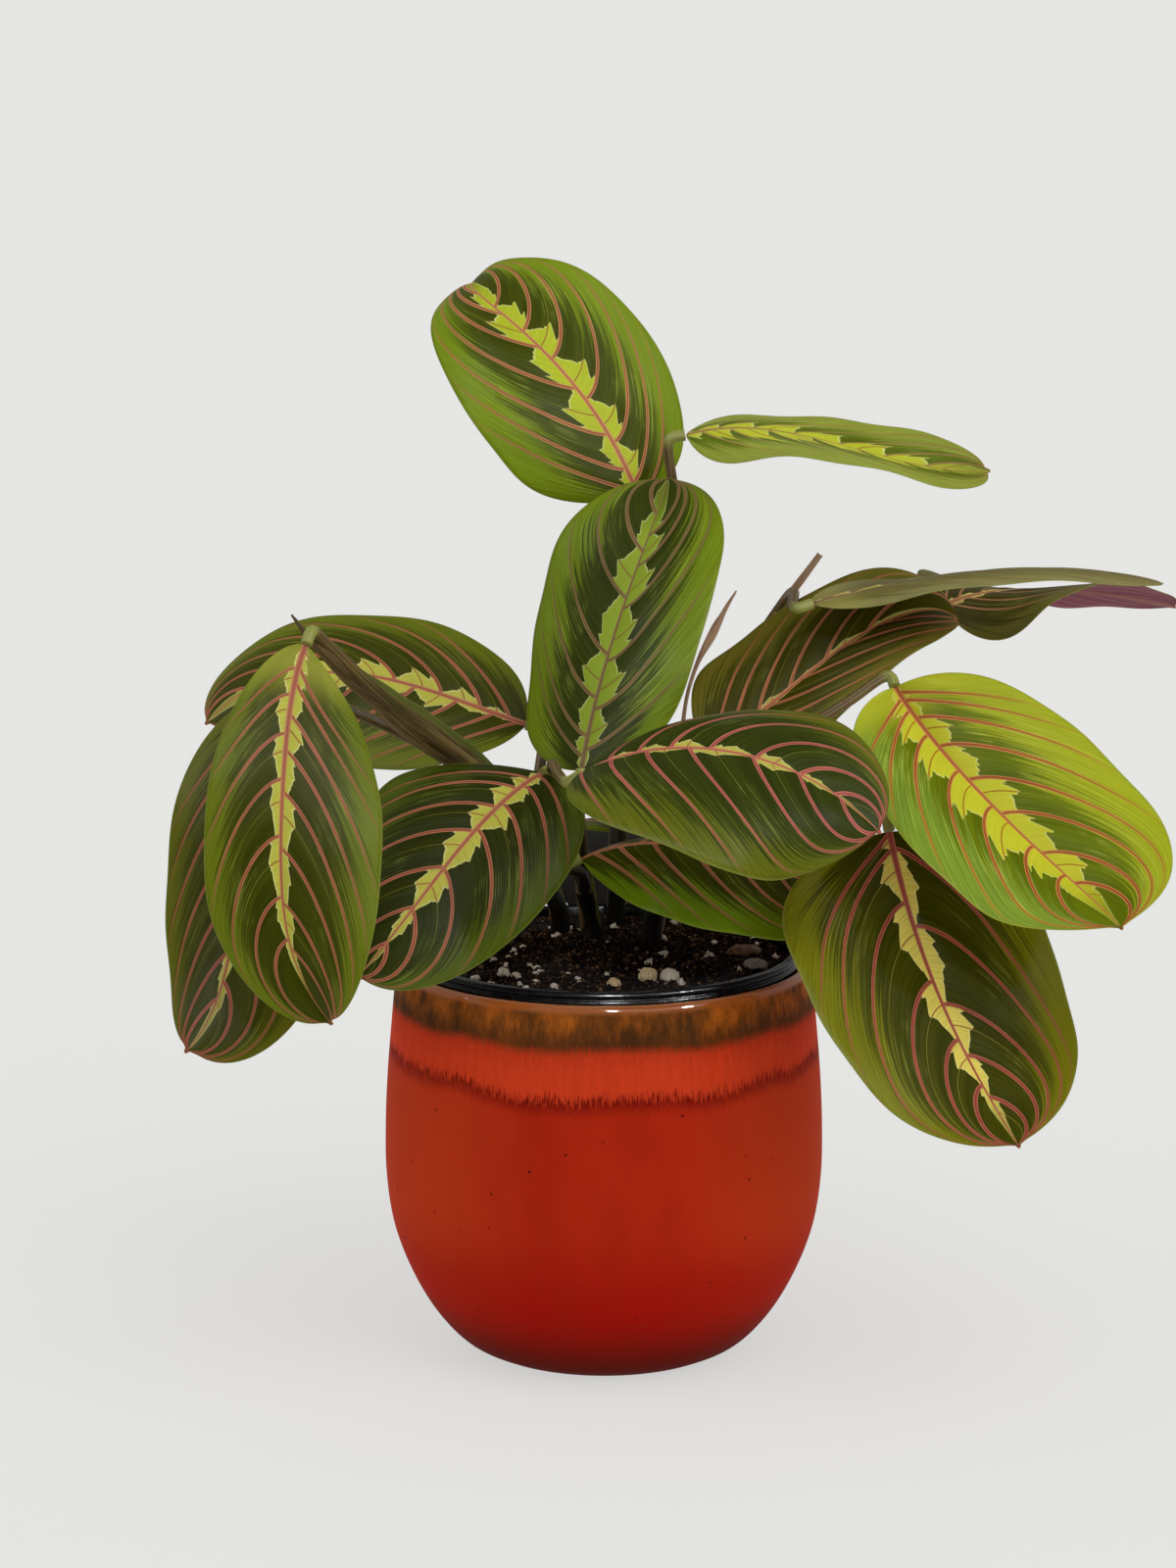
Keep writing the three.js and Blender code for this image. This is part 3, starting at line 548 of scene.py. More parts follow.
def vein_count(veins, v, shares):
    """Runs from 0 at the first side vein of a half to 1 at the next, and so on towards the tip."""
    starts, first, last = veins
    order = np.arange(len(starts))
    lean, bend = (np.interp(order, (0, len(starts) - 1), pair) for pair in zip(first, last))
    count = np.empty((len(v), len(shares)))
    for column, share in enumerate(shares):
        crossed = np.array(starts) + lean * share + bend * share ** 2
        before = (v - crossed[0]) / (crossed[1] - crossed[0])
        after = order[-1] + np.minimum((v - crossed[-1]) / (crossed[-1] - crossed[-2]), PAST_LAST_VEIN)
        inside = np.interp(v, crossed, order)
        count[:, column] = np.where(v < crossed[0], before, np.where(v > crossed[-1], after, inside))
    return count


def vein_spacing(points, count):
    """Millimetres from one side vein to the next, at each point of a half sheet."""
    along, across = np.gradient(points, axis=0), np.gradient(points, axis=1)
    count_along, count_across = np.gradient(count)
    aa, bb, ab = (across ** 2).sum(-1), (along ** 2).sum(-1), (along * across).sum(-1)
    slope = aa * count_along ** 2 - 2 * ab * count_along * count_across + bb * count_across ** 2
    return np.clip(np.sqrt(np.maximum(aa * bb - ab ** 2, 1e-9) / np.maximum(slope, 1e-9)), 0.5, 30)


def blade_mesh(name, shape, settings):
    """A closed thin blade, quilted between its side veins, with a ridge under the midrib."""
    even = np.linspace(0, 1, BLADE_ROWS)
    v = 0.5 * even + 0.25 * (1 - np.cos(math.pi * even))
    shares = np.linspace(0, 1, BLADE_COLUMNS) ** CROWDED
    tops, bottoms, marks = [], [], []
    halves = shape.get("veins", USUAL_VEINS)
    last_vein = len(halves[0][0]) - 1  # the left half's number ends the quilting of both
    for side, veins in zip((-1, 1), halves):
        points, normals, width = half_sheet(shape, side, v, shares)
        count = vein_count(veins, v, shares)
        gauge = vein_spacing(points, count)
        out = width[:, None] * shares
        pillow = np.sin(math.pi * count) ** 2 * np.minimum(gauge / FULL_QUILT, 1)
        pillow *= (count > 0) & (count < last_vein)
        pillow = pillow * smooth(shares, 0.02, 0.2) * (1 - smooth(shares, 0.75, 1))
        ripple = np.sin((v * RIPPLES + side * 0.2) * 2 * math.pi)[:, None] * shares ** 4
        groove = GROOVE_DEPTH * np.exp(-((out / GROOVE_WIDTH) ** 2))
        rib = RIB_HEIGHT * (1 - RIB_TAPER * v[:, None]) * np.exp(-((out / RIB_WIDTH) ** 2))
        lift = (settings.quilting * pillow + settings.ripple * ripple) / MM
        skin = settings.thickness / MM * (1 - MARGIN_TAPER * shares) / 2
        tops.append(points + normals * (lift + skin - groove)[..., None])
        bottoms.append(points + normals * (lift - skin - rib)[..., None])
        marks.append(np.stack([count, gauge, out], -1))
    columns = 2 * BLADE_COLUMNS - 1
    size = BLADE_ROWS * columns
    faces = sheet_faces(BLADE_ROWS, columns)
    sheets = [np.concatenate([left[:, :0:-1], right], 1).reshape(-1, 3) for left, right in (tops, bottoms)]
    mesh = mesh_of(name, np.concatenate(sheets), faces)

    row, column = np.divmod(faces.ravel() % size, columns)
    across = np.concatenate([-shares[:0:-1], shares])
    mesh.uv_layers.new(name="blade").data.foreach_set("uv", np.stack([v[row], across[column]], 1).ravel())
    right_half = np.repeat((faces % columns).max(1) > BLADE_COLUMNS - 1, 4)[:, None]
    from_rib = np.abs(column - (BLADE_COLUMNS - 1))
    pattern = np.where(right_half, marks[1][row, from_rib], marks[0][row, from_rib])
    mesh.attributes.new("veins", "FLOAT_VECTOR", "CORNER").data.foreach_set("vector", pattern.ravel())
    mesh.polygons.foreach_set("material_index", (faces.min(1) >= size).astype(np.int32))
    return mesh


# The usual colours of young, grown and old blades: the outer zone, the dark feathers, the yellow
# lobes, and the paler edge and darker core of a side vein.
TONES = (0.0, 0.4, 1.0)
COLOURS = {
    "outer": ((166, 174, 30), (114, 140, 14), (97, 100, 20)),
    "dark": ((94, 107, 2), (58, 64, 2), (56, 59, 3)),
    "lime": ((204, 202, 48), (184, 196, 46), (194, 184, 84)),
    "vein": ((206, 140, 84), (206, 146, 100), (176, 112, 84)),
    "core": ((164, 80, 36), (158, 92, 60), (146, 72, 56)),
}
LIME_PLACES = (0.04, 0.34, 0.66, 0.94)
LOBE = ((0.0, 0.5), (0.1, 0.86), (0.16, 0.6), (0.4, 1.0), (0.5, 0.7), (0.7, 0.48), (0.86, 0.22),
        (1.0, 0.08))  # outline of the yellow from one side vein to the next
TEETH, NO_JAG, USUAL_JAG, USUAL_FULL, USUAL_BOLD = 6.0, 0.75, 0.07, 0.1, 1.0
VEIN_HALF, VEIN_TAPER, BLADE_RIB_HALF, BLADE_RIB_TAPER = 0.7, 0.3, 1.05, 0.9
DARK_END, DARK_END_BY_TONE = 0.54, 0.24  # where the dark feathers end, as shares of the half width
TWIG_AT, RED_TWIG_CHANCE, PALE_HAIR_CHANCE = 0.4, 0.65, 0.5  # thin lines between two side veins


def blade_colour(shape, key):
    """A colour of the blade: its own, or the usual one for its tone."""
    own = shape.get("colours", {})
    if key in own:
        return paint(*own[key])
    first = 0 if shape["tone"] <= TONES[1] else 1
    low, high = TONES[first:first + 2]
    ends = (paint(*colour) for colour in COLOURS[key][first:first + 2])
    return between(*ends, (shape["tone"] - low) / (high - low))


def blade_marks(f):
    """What the pattern is worked out from: the run along the blade, the side (-1 or 1), the share of
    the half width, the millimetres from the midrib, the running number of the side veins, the
    millimetres between them and from the nearest one, and where the side veins begin."""
    along, across = f.sheet("blade")
    count, gauge, out = f.split(f.attribute("veins", "Vector"))
    offset = f.maths("ABSOLUTE", count - f.maths("ROUND", count)) * gauge
    begun = f.ease(count, -0.55, -0.45)
    return along, f.maths("SIGN", across), f.maths("ABSOLUTE", across), out, count, gauge, offset, begun


def blade_finish(name, shape):
    """The painted-looking upper side: side veins, yellow lobes, dark feathers and pale streaks, with
    painted highlights and sheen.
    """
    f = Finish(name)
    outer, dark, lime, edge, core = (
        blade_colour(shape, key) for key in ("outer", "dark", "lime", "vein", "core")
    )
    tone = shape["tone"]
    along, sign, share, out, count, gauge, offset, begun = blade_marks(f)
    side = sign * 7.0
    lane = f.maths("FLOOR", count)
    part = count - lane
    luck = f.chance(lane, side)
    width = out / f.maths("MAXIMUM", share, 0.01)
    streak = f.fibres(count * 11.0, share * 1.3, side)
    fine = f.fibres(count * 34.0, share * 2.2, side, detail=2.0)
    cloud = f.grain((along * 6.0, share * sign * 3.0, side))

    vein_half = (VEIN_HALF - VEIN_TAPER * share) * (0.8 + 0.4 * cloud) * shape.get("bold", USUAL_BOLD)
    vein_share = f.fall(offset / vein_half, 0.8, 1.15) * begun * f.ease(share, 0.8, 1.0, 1.0, 0.2)
    core_share = f.fall(offset / vein_half, 0.35, 0.75)
    rib_half = BLADE_RIB_HALF - BLADE_RIB_TAPER * along
    rib_share = f.fall(out / rib_half, 0.85, 1.15)
    rib_core = f.fall(out / rib_half, 0.2, 0.8)

    steps = count * TEETH
    tooth = f.maths("FLOOR", steps)
    jag = f.chance(tooth, side, 3.0) + 0.5 * (steps - tooth)
    reach = f.level(along, *zip(LIME_PLACES, shape["lime"])) * (1.0 + sign * shape.get("skew", 0.0))
    full = shape.get("full", USUAL_FULL)
    lobe = full + (1.0 - full) * f.level(part + (luck - 0.5) * 0.12, *LOBE)
    ragged = (jag - NO_JAG) * shape.get("jag", USUAL_JAG)
    extent = reach * (lobe * (0.78 + 0.3 * luck) + ragged)
    beyond = (share - extent) * width
    kept = f.ease(along, 0.7, 0.98, 1.0, 0.35)
    lime_share = f.fall(beyond, -0.12, 0.12) * kept
    lime_edge = f.fall(f.maths("ABSOLUTE", beyond + 0.12), 0.08, 0.26) * f.ease(extent, 0.02, 0.06) * kept
    twig = f.maths("ABSOLUTE", part - TWIG_AT) * gauge
    red_twig = f.fall(twig, 0.12, 0.34) * lime_share * f.maths("GREATER_THAN", luck, 1 - RED_TWIG_CHANCE)
    pale_hair = f.fall(twig, 0.05, 0.22) * f.fall(share, 0.2, 0.7) * begun
    pale_hair = pale_hair * f.maths("GREATER_THAN", luck, 1 - PALE_HAIR_CHANCE)

    dark_end = DARK_END + DARK_END_BY_TONE * tone + 0.16 * (part - 0.5) + (streak - 0.5) * 0.4
    hump = f.level(part, (0.0, 0.0), (0.5, 1.0), (1.0, 0.0))
    # painted highlights: pale glints along the lanes and small bright sparkles, laid into the colour
    glint = f.ease(fine, 0.62, 0.95) * f.ease(share, 0.3, 0.6) * (0.4 + 0.6 * hump)
    spark = f.ease(fine, 0.7, 0.9) * f.ease(cloud, 0.5, 0.6)
    spark = spark * f.ease(share, 0.25, 0.4) * f.fall(share, 0.6, 0.8)

    zone = outer
    if "outer_right" in shape.get("colours", {}):
        zone = f.blend(f.ease(sign * share, -0.05, 0.05), outer, blade_colour(shape, "outer_right"))
    zone = f.shade(zone, 0.66 + 0.3 * streak + 0.32 * fine)
    # the dark feathers grow lighter towards the middle of each lane: painted sheen on the swelling between
    # side veins
    feathers = f.shade(dark, 0.66 + 0.34 * streak + 0.16 * fine + 0.24 * hump)
    pink = f.shade(f.blend(core_share, edge, core), 0.82 + 0.36 * fine)
    colour = f.layers(  # from the blade's ground up to its veins, midrib and pale margin
        zone,
        (f.fall(share - dark_end, -0.13, 0.1), feathers),
        (f.fall(along, 0.05, 0.18, shape.get("fresh", 0.0)), between(outer, lime, 0.5)),
        # the painted highlights of the glints and sparkles
        (glint * (0.62 - 0.3 * tone), between(outer, paint(186, 206, 90), 0.5 - 0.3 * tone)),
        (spark * (0.65 - 0.45 * tone), between(outer, paint(210, 226, 110), 0.6)),
        (pale_hair * 0.2, lime),
        (lime_share, f.blend(fine, lime, between(lime, outer, 0.3))),
        (lime_edge * 0.6, between(lime, paint(240, 240, 180), 0.6)),
        (red_twig * 0.8, between(core, paint(140, 50, 20), 0.4)),
        (vein_share * 0.95, f.blend(f.ease(share, 0.35, 1.0) * 0.55, pink, between(outer, core, 0.35))),
        (rib_share, f.blend(rib_core * 0.8, edge, core)),
        (f.ease(share, 0.975, 1.0), between(outer, paint(150, 160, 80), 0.4)),
    )
    relief = 0.5 + 0.14 * fine + 0.12 * streak - 0.3 * vein_share
    roughness = 0.38 + 0.12 * streak + 0.1 * lime_share
    return f.surface(f.shade(colour, 0.9 + 0.2 * cloud), roughness, relief, 0.28, Specular_IOR_Level=0.02)


def underside_finish(name, light, dark):
    """The lower side of a blade, wine-coloured or shaded, with its darker veins."""
    f = Finish(name)
    _, _, share, out, count, _, offset, begun = blade_marks(f)
    vein = f.fall(offset, 0.3, 0.8) * begun
    streak = f.fibres(count * 13.0, share * 2.2)
    colour = f.layers(
        f.shade(f.blend(f.ease(share, 0.3, 1.0), between(dark, light, 0.6), light), 0.8 + 0.3 * streak),
        (vein * 0.7, dark),
        (f.fall(out, 0.9, 1.5), between(light, paint(140, 110, 66), 0.4)),
    )
    relief = 0.5 + 0.4 * vein + 0.2 * streak
    return f.surface(colour, 0.5 + 0.1 * streak, relief, 0.3, Specular_IOR_Level=0.12)


# ---- stalks ------------------------------------------------------------------------------------
# foot and lean: where a shoot's stem leaves the soil, and where it ends and its stalks begin.
# stalks: the places that each leaf's stalk runs through on its way. sheaths: rows of places with
# the breadth of the dry wing there.
SHOOTS = {
    "shoot_left": dict(
        foot=(-14, 28), lean=(-20, 25, 150), radius=3.4,
        stalks={
            "leaf_back_left": [(-21, 27, 172)],
            "leaf_front_left": [(-28, 12, 172), (-42, -12, 190), (-66, -42, 215), (-83, -62, 236)],
            "leaf_far_left": [(-27, 15, 168), (-44, -7, 187), (-68, -24, 204), (-88, -23, 212)],
            "leaf_hidden_left": [(-20, 44, 150)],
        },
        sheaths=[
            [(-28, 13, 172, 5), (-42.5, -11, 190, 10), (-59, -30, 206, 11), (-67, -41, 215, 8.5),
             (-76, -51, 224, 6.5), (-82, -59, 231, 4.2), (-87, -65, 237, 2.4), (-92.5, -68, 245, 0.6)],
            [(-14, 28, 130, 6), (-16, 25, 142, 5), (-20, 20, 166, 1.2)],
        ]),
    "shoot_middle": dict(
        foot=(-4, 17), lean=(-6, 12, 144), radius=3.6,
        stalks={
            "leaf_center": [(-7, 0, 162), (-8, -14, 178)],
            "leaf_over_rim": [(-12, -2, 168), (-17, -14, 184)],
            "leaf_ridge": [(-10, -2, 168), (-14, -13, 182), (-16, -24, 191), (-15, -36, 193),
                           (-14, -47, 193)],
            "leaf_low": [(-7, 0, 152)],
        },
        sheaths=[[(-4, 16.5, 130, 6.6), (-6, 10, 146, 6), (-9, 0, 170, 1.2)]]),
    "shoot_right": dict(
        foot=(15, 5), lean=(20, 17, 148), radius=3.6,
        stalks={
            "leaf_bright_right": [(33, 10, 168), (46, -8, 183), (62, -9, 199), (76, -6, 208)],
            "leaf_low_right": [(34, 12, 164), (60, 2, 178), (80, -18, 181)],
            "leaf_mid_right": [(22, 12, 170), (26, 3, 184)],
            "leaf_flat_right": [(30, 34, 180), (46, 56, 210), (57, 54, 228), (60, 37, 235)],
            "leaf_far_right": [(32, 34, 172), (60, 60, 200), (92, 62, 220)],
            "leaf_hidden_right": [(28, 38, 152)],
        },
        sheaths=[
            [(22, 16, 160, 2), (24, 12, 190, 1.6), (26, 9, 207, 1.2), (29, 8, 217, 1.4), (34, 8, 227, 2.8),
             (37, 8, 233, 1.6), (41, 8, 240, 0.5)],
            [(54, 55, 222, 2.8), (60, 53, 232, 2.6), (69, 50, 245, 2.0)],
            [(15, 5, 130, 6), (17, 7, 138, 5), (20, 14, 156, 1.2)],
        ]),
    "shoot_tall": dict(
        foot=(4, 38), lean=(5, 38, 160), radius=3.4,
        stalks={
            "leaf_top": [(8, 44, 215), (14, 54, 247)],
            "leaf_upper_right": [(12, 42, 215), (22, 45, 262)],
            "leaf_hidden_back": [(6, 50, 146)],
        },
        sheaths=[[(4, 38, 130, 6), (5, 38, 160, 6), (9, 40, 205, 1.2)]]),
}
STEM_BOTTOM, STEM_STRAIGHT = 108, 132
STALK_RADIUS = (2.3, 1.7)
NECK = 9.0  # length of the swollen, paler neck below a blade
NECK_SWELL, STALK_SLIMMED = 0.25, 0.15  # how the stalks differ from the solids' radius
STALK_STEP, STALK_SIDES = 1.2, 20
SHEATH_COLUMNS, SHEATH_HALF_THICKNESS, SHEATH_HOLLOW, SHEATH_WAVE = 13, 0.4, 0.3, 0.35
STALK_SHADE = (144.0, 190.0)  # heights between which the painted shade near the soil fades, from black to the stalks' own colours
FULL_TURN = 6.283


def stalk_tree():
    """Skins every row of points as a closed round stalk that knows the turn about its axis."""
    g = Growth("stalk", Rows="Geometry", Step="Float", Sides="Int")
    curve = g.step("MeshToCurve", {"Mesh": g.given["Rows"]})
    evened = g.step("ResampleCurve", {"Curve": curve, "Length": g.given["Step"]}, mode="LENGTH")
    thick = g.step("InputNamedAttribute", {"Name": "thickness"}, data_type="FLOAT")
    sized = g.step("SetCurveRadius", {"Curve": evened, "Radius": thick})
    ring = g.step("CurvePrimitiveCircle", {"Resolution": g.given["Sides"], "Radius": 1.0}, mode="RADIUS")
    around = {"Geometry": ring, "Name": "turn", "Value": g.step("SplineParameter")}
    profile = g.step("StoreNamedAttribute", around, data_type="FLOAT", domain="POINT")
    skin = {"Curve": sized, "Profile Curve": profile, "Scale": thick, "Fill Caps": True}
    return g.end(g.step("SetShadeSmooth", {"Geometry": g.step("CurveToMesh", skin)}))


def grow(made, tree, **given):
    """Adds a geometry tree to an object and sets its named inputs."""
    modifier = made.modifiers.new(tree.name, "NODES")
    modifier.node_group = tree
    for socket in tree.interface.items_tree:
        if socket.in_out == "INPUT" and socket.name in given:
            modifier[socket.identifier] = given[socket.name]
    return settled(made)


def rows_mesh(name, rows):
    """Rows of points joined by edges, with how thick and how green the stalk is at each point."""
    mesh = bpy.data.meshes.new(name)
    points, thickness, green = (np.concatenate(parts) for parts in zip(*rows))
    edges, first = [], 0
    for row, _, _ in rows:
        edges.extend((first + i, first + i + 1) for i in range(len(row) - 1))
        first += len(row)
    mesh.from_pydata((points * MM).tolist(), edges, [])
    for key, numbers in (("thickness", thickness * MM), ("green", green)):
        mesh.attributes.new(key, "FLOAT", "POINT").data.foreach_set("value", numbers.astype(np.float32))
    return mesh


def stalk_row(shoot, leaf, points):
    """The way of one leaf's stalk from its shoot to the blade, with its radius and greenness."""
    shape = BLADES[leaf]
    forward = pointing(*(math.radians(shape[key][0]) for key in ("heading", "pitch")))
    end = np.array(shape["base"]) - 0.3 * forward
    row = spline([shoot["lean"], *points, end - 5 * forward, end], per_span=12)
    run = np.concatenate([[0], np.cumsum(np.linalg.norm(np.diff(row, axis=0), axis=1))])
    neck = smooth(run - run[-1], -NECK, -NECK * 0.5)
    radius = np.interp(run / run[-1], (0, 1), STALK_RADIUS) - STALK_SLIMMED + NECK_SWELL * neck
    return row, radius, neck


def shoot_rows(shoot):
    """The stem of a shoot and then its stalks."""
    x, y = shoot["foot"]
    heights = STEM_BOTTOM, STEM_STRAIGHT - 8, STEM_STRAIGHT
    stem = spline([*((x, y, z) for z in heights), shoot["lean"]], per_span=10)
    radius = np.linspace(shoot["radius"], shoot["radius"] - 0.5, len(stem))
    stalks = (stalk_row(shoot, leaf, points) for leaf, points in shoot["stalks"].items())
    return [(stem, radius, np.zeros(len(stem))), *stalks]


def unit(rows):
    """Rows of directions brought to length one."""
    return rows / np.linalg.norm(rows, axis=1)[:, None]


def sheath_mesh(name, sheaths):
    """Thin dry wings, hollow towards the stalk they clasp."""
    shares = np.linspace(-1, 1, SHEATH_COLUMNS)
    points, faces, marks = [], [], []
    for places in sheaths:
        table = spline(places, per_span=10)
        centre, half = table[:, :3], np.maximum(table[:, 3:] / 2, 0.3)
        ahead = unit(np.gradient(centre, axis=0))
        broad = unit(np.cross(ahead, (0, 1, 0)))
        front = np.cross(ahead, broad)
        front *= np.where(front[:, 1:2] < 0, 1, -1)
        hollow = (1 - shares ** 2) * SHEATH_HOLLOW
        wave = SHEATH_WAVE * np.sin(np.arange(len(table)) * 0.55)[:, None] * shares ** 2
        run = np.cumsum(np.linalg.norm(np.diff(centre, axis=0, prepend=centre[:1]), axis=1))
        sheet = (
            centre[:, None] + broad[:, None] * (half * shares)[..., None]
            + front[:, None] * (half * hollow + wave)[..., None]
        )
        faces.extend(sheet_faces(*sheet.shape[:2]) + len(points))
        for depth in (SHEATH_HALF_THICKNESS, -SHEATH_HALF_THICKNESS):
            fade = depth * (1 - 0.5 * np.abs(shares))[None, :, None]
            points.extend((sheet + front[:, None] * fade).reshape(-1, 3))
            marks.extend((along, across) for along in run for across in shares)
    mesh = mesh_of(name, points, faces, turn_out=True)
    corners = [loop.vertex_index for loop in mesh.loops]
    mesh.uv_layers.new(name="sheath").data.foreach_set("uv", np.array(marks, np.float32)[corners].ravel())
    return mesh


def stalk_finish():
    """Olive-brown ribbed skin, painted black with shade near the soil, that turns pale green at the neck.
    """
    f = Finish("stalk_skin")
    green, turn = (Value(f, f.attribute(name, "Fac")) for name in ("green", "turn"))
    x, y, z = f.split(f.place())
    ribs = f.grain((turn * 16.0, z * 0.03, x * 0.02))
    spots = f.grain((x, y, z * 0.35), 0.9, 3.0)
    colour = f.layers(
        f.blend(f.ease(ribs, 0.3, 0.7), paint(62, 54, 24), paint(128, 108, 62)),
        (f.ease(spots, 0.52, 0.7) * 0.5, paint(112, 66, 48)),
        # painted shade: black near the soil, where the stalks crowd under the leaves
        (f.fall(z, *STALK_SHADE, 0.96), paint(7, 6, 4)),
        (green, f.blend(ribs, paint(120, 128, 50), paint(158, 158, 86))),
    )
    return f.surface(colour, 0.5, ribs, 0.25, Specular_IOR_Level=0.06)


def sheath_finish(name, *colours):
    """Papery skin with long fibres, from its dark and light colour and that of one margin."""
    f = Finish(name)
    dark, light, margin = (paint(*colour) for colour in colours)
    run, across = f.sheet("sheath")
    fibres = f.grain((run * 0.05, across * 9.0), 1.0, 3.0, 0.65)
    patches = f.grain((run * 0.09, across * 1.5, 4.0), 1.0, 3.0)
    colour = f.layers(
        f.blend(f.ease(fibres, 0.32, 0.68), dark, light),
        (f.ease(patches, 0.45, 0.7) * 0.5, dark),
        (f.fall(across, -0.8, -0.5, 0.8), margin),
        (f.ease(across, 0.7, 0.9, 0.0, 0.5), light),
    )
    return f.surface(colour, 0.55, fibres, 0.35, Specular_IOR_Level=0.08)


# ---- pots --------------------------------------------------------------------------------------
# Radii and heights. The nursery pot's lip is given from its outermost radius and from its top.
CERAMIC_OUTER = ((37.3, 0), (45.1, 4), (52.8, 12), (60.1, 24), (66.2, 40), (68.6, 56), (68.8, 72),
                 (68.1, 88), (66.8, 104), (65.5, 118), (64.9, 122))
CERAMIC_FOOT = ((36.4, 0), (36.9, 0.15))
CERAMIC_LIP = ((64.75, 123.2), (64.3, 124.3), (63.6, 124.85), (63.0, 125), (62.6, 124.8), (62.3, 124.2),
               (62.3, 116))
CERAMIC_INSIDE = ((44.5, 7.4), (41, 6), (0, 6))
CERAMIC_WALL, THROAT, KNEE = 3.6, 104, 12
NURSERY_RADIUS, NURSERY_TOP, NURSERY_SHOULDER, NURSERY_WALL = 61.8, 128.5, (59.6, 120.5), 1.3
NURSERY_FLOOR = (40, 6.3)
NURSERY_LIP = ((-1.0, -7.7), (-0.8, -7.1), (-0.8, -5.0), (-0.65, -4.6), (-0.1, -4.1), (0, -3.6), (0, -3.1),
               (-0.2, -2.8), (-0.75, -2.5), (-0.8, -2.2), (-0.55, -1.9), (-0.05, -1.5), (0, -1.1),
               (-0.15, -0.6), (-0.5, -0.25), (-1.0, -0.05), (-1.5, 0), (-2.0, -0.1), (-2.3, -0.35),
               (-2.6, -0.1), (-3.0, -0.12), (-3.4, -0.8))
POT_SIDES = 160
# Heights between which one look of the glaze, or of the light and shade painted on it, passes into the
# next.
FOOT_FADE, BELLY_FADE, FLANK_FADE, SPECKS_END = (1.0, 30.0), (26.0, 62.0), (30.0, 56.0), (90.0, 94.0)
LIP_FADE, LIP_EDGE_FADE = (121.8, 124.0), (124.2, 124.8)
FLANK = (16.0, 66.0)  # distances from the middle as the camera sees it
SPECK_RADIUS, SPECK_SCALE, SPECK_CHANCE = 68.0, 0.085, 0.28


def ceramic_mesh():
    outer = spline(CERAMIC_OUTER, per_span=7)
    inner = [(r - CERAMIC_WALL, z) for r, z in outer[:0:-1] if KNEE <= z <= THROAT]
    profile = [(0, 0), *CERAMIC_FOOT, *outer[1:], *CERAMIC_LIP, *inner, *CERAMIC_INSIDE]
    return turned("ceramic_pot", profile, POT_SIDES)


def nursery_mesh():
    lip = [(NURSERY_RADIUS + inwards, NURSERY_TOP + down) for inwards, down in NURSERY_LIP]
    (shoulder, shoulder_height), (foot, floor) = NURSERY_SHOULDER, NURSERY_FLOOR
    inside = [(shoulder - NURSERY_WALL, shoulder_height), (foot - NURSERY_WALL, floor + NURSERY_WALL),
              (0, floor + NURSERY_WALL)]
    return turned("nursery_pot", [(0, floor), NURSERY_FLOOR, NURSERY_SHOULDER, *lip, *inside], POT_SIDES)


def specks(f, x, y, z, needles):
    """Where the small dark marks of the glaze are, all of them below its brown band."""
    around = f.maths("ARCTAN2", y, x) * SPECK_RADIUS
    cells = f.node("ShaderNodeTexVoronoi", {"feature": "F1", "voronoi_dimensions": "2D"},
                   {"Vector": f.join(around, z), "Scale": SPECK_SCALE}).outputs
    rare = Value(f, f.node("ShaderNodeSeparateColor", None, {0: cells["Color"]}).outputs[0])
    size = (rare - 0.68) * 0.1
    mark = f.fall(Value(f, cells["Distance"]) + (needles - 0.5) * 0.02, size, size + 0.02)
    return mark * f.maths("GREATER_THAN", rare, 1 - SPECK_CHANCE) * f.fall(z, *SPECKS_END)


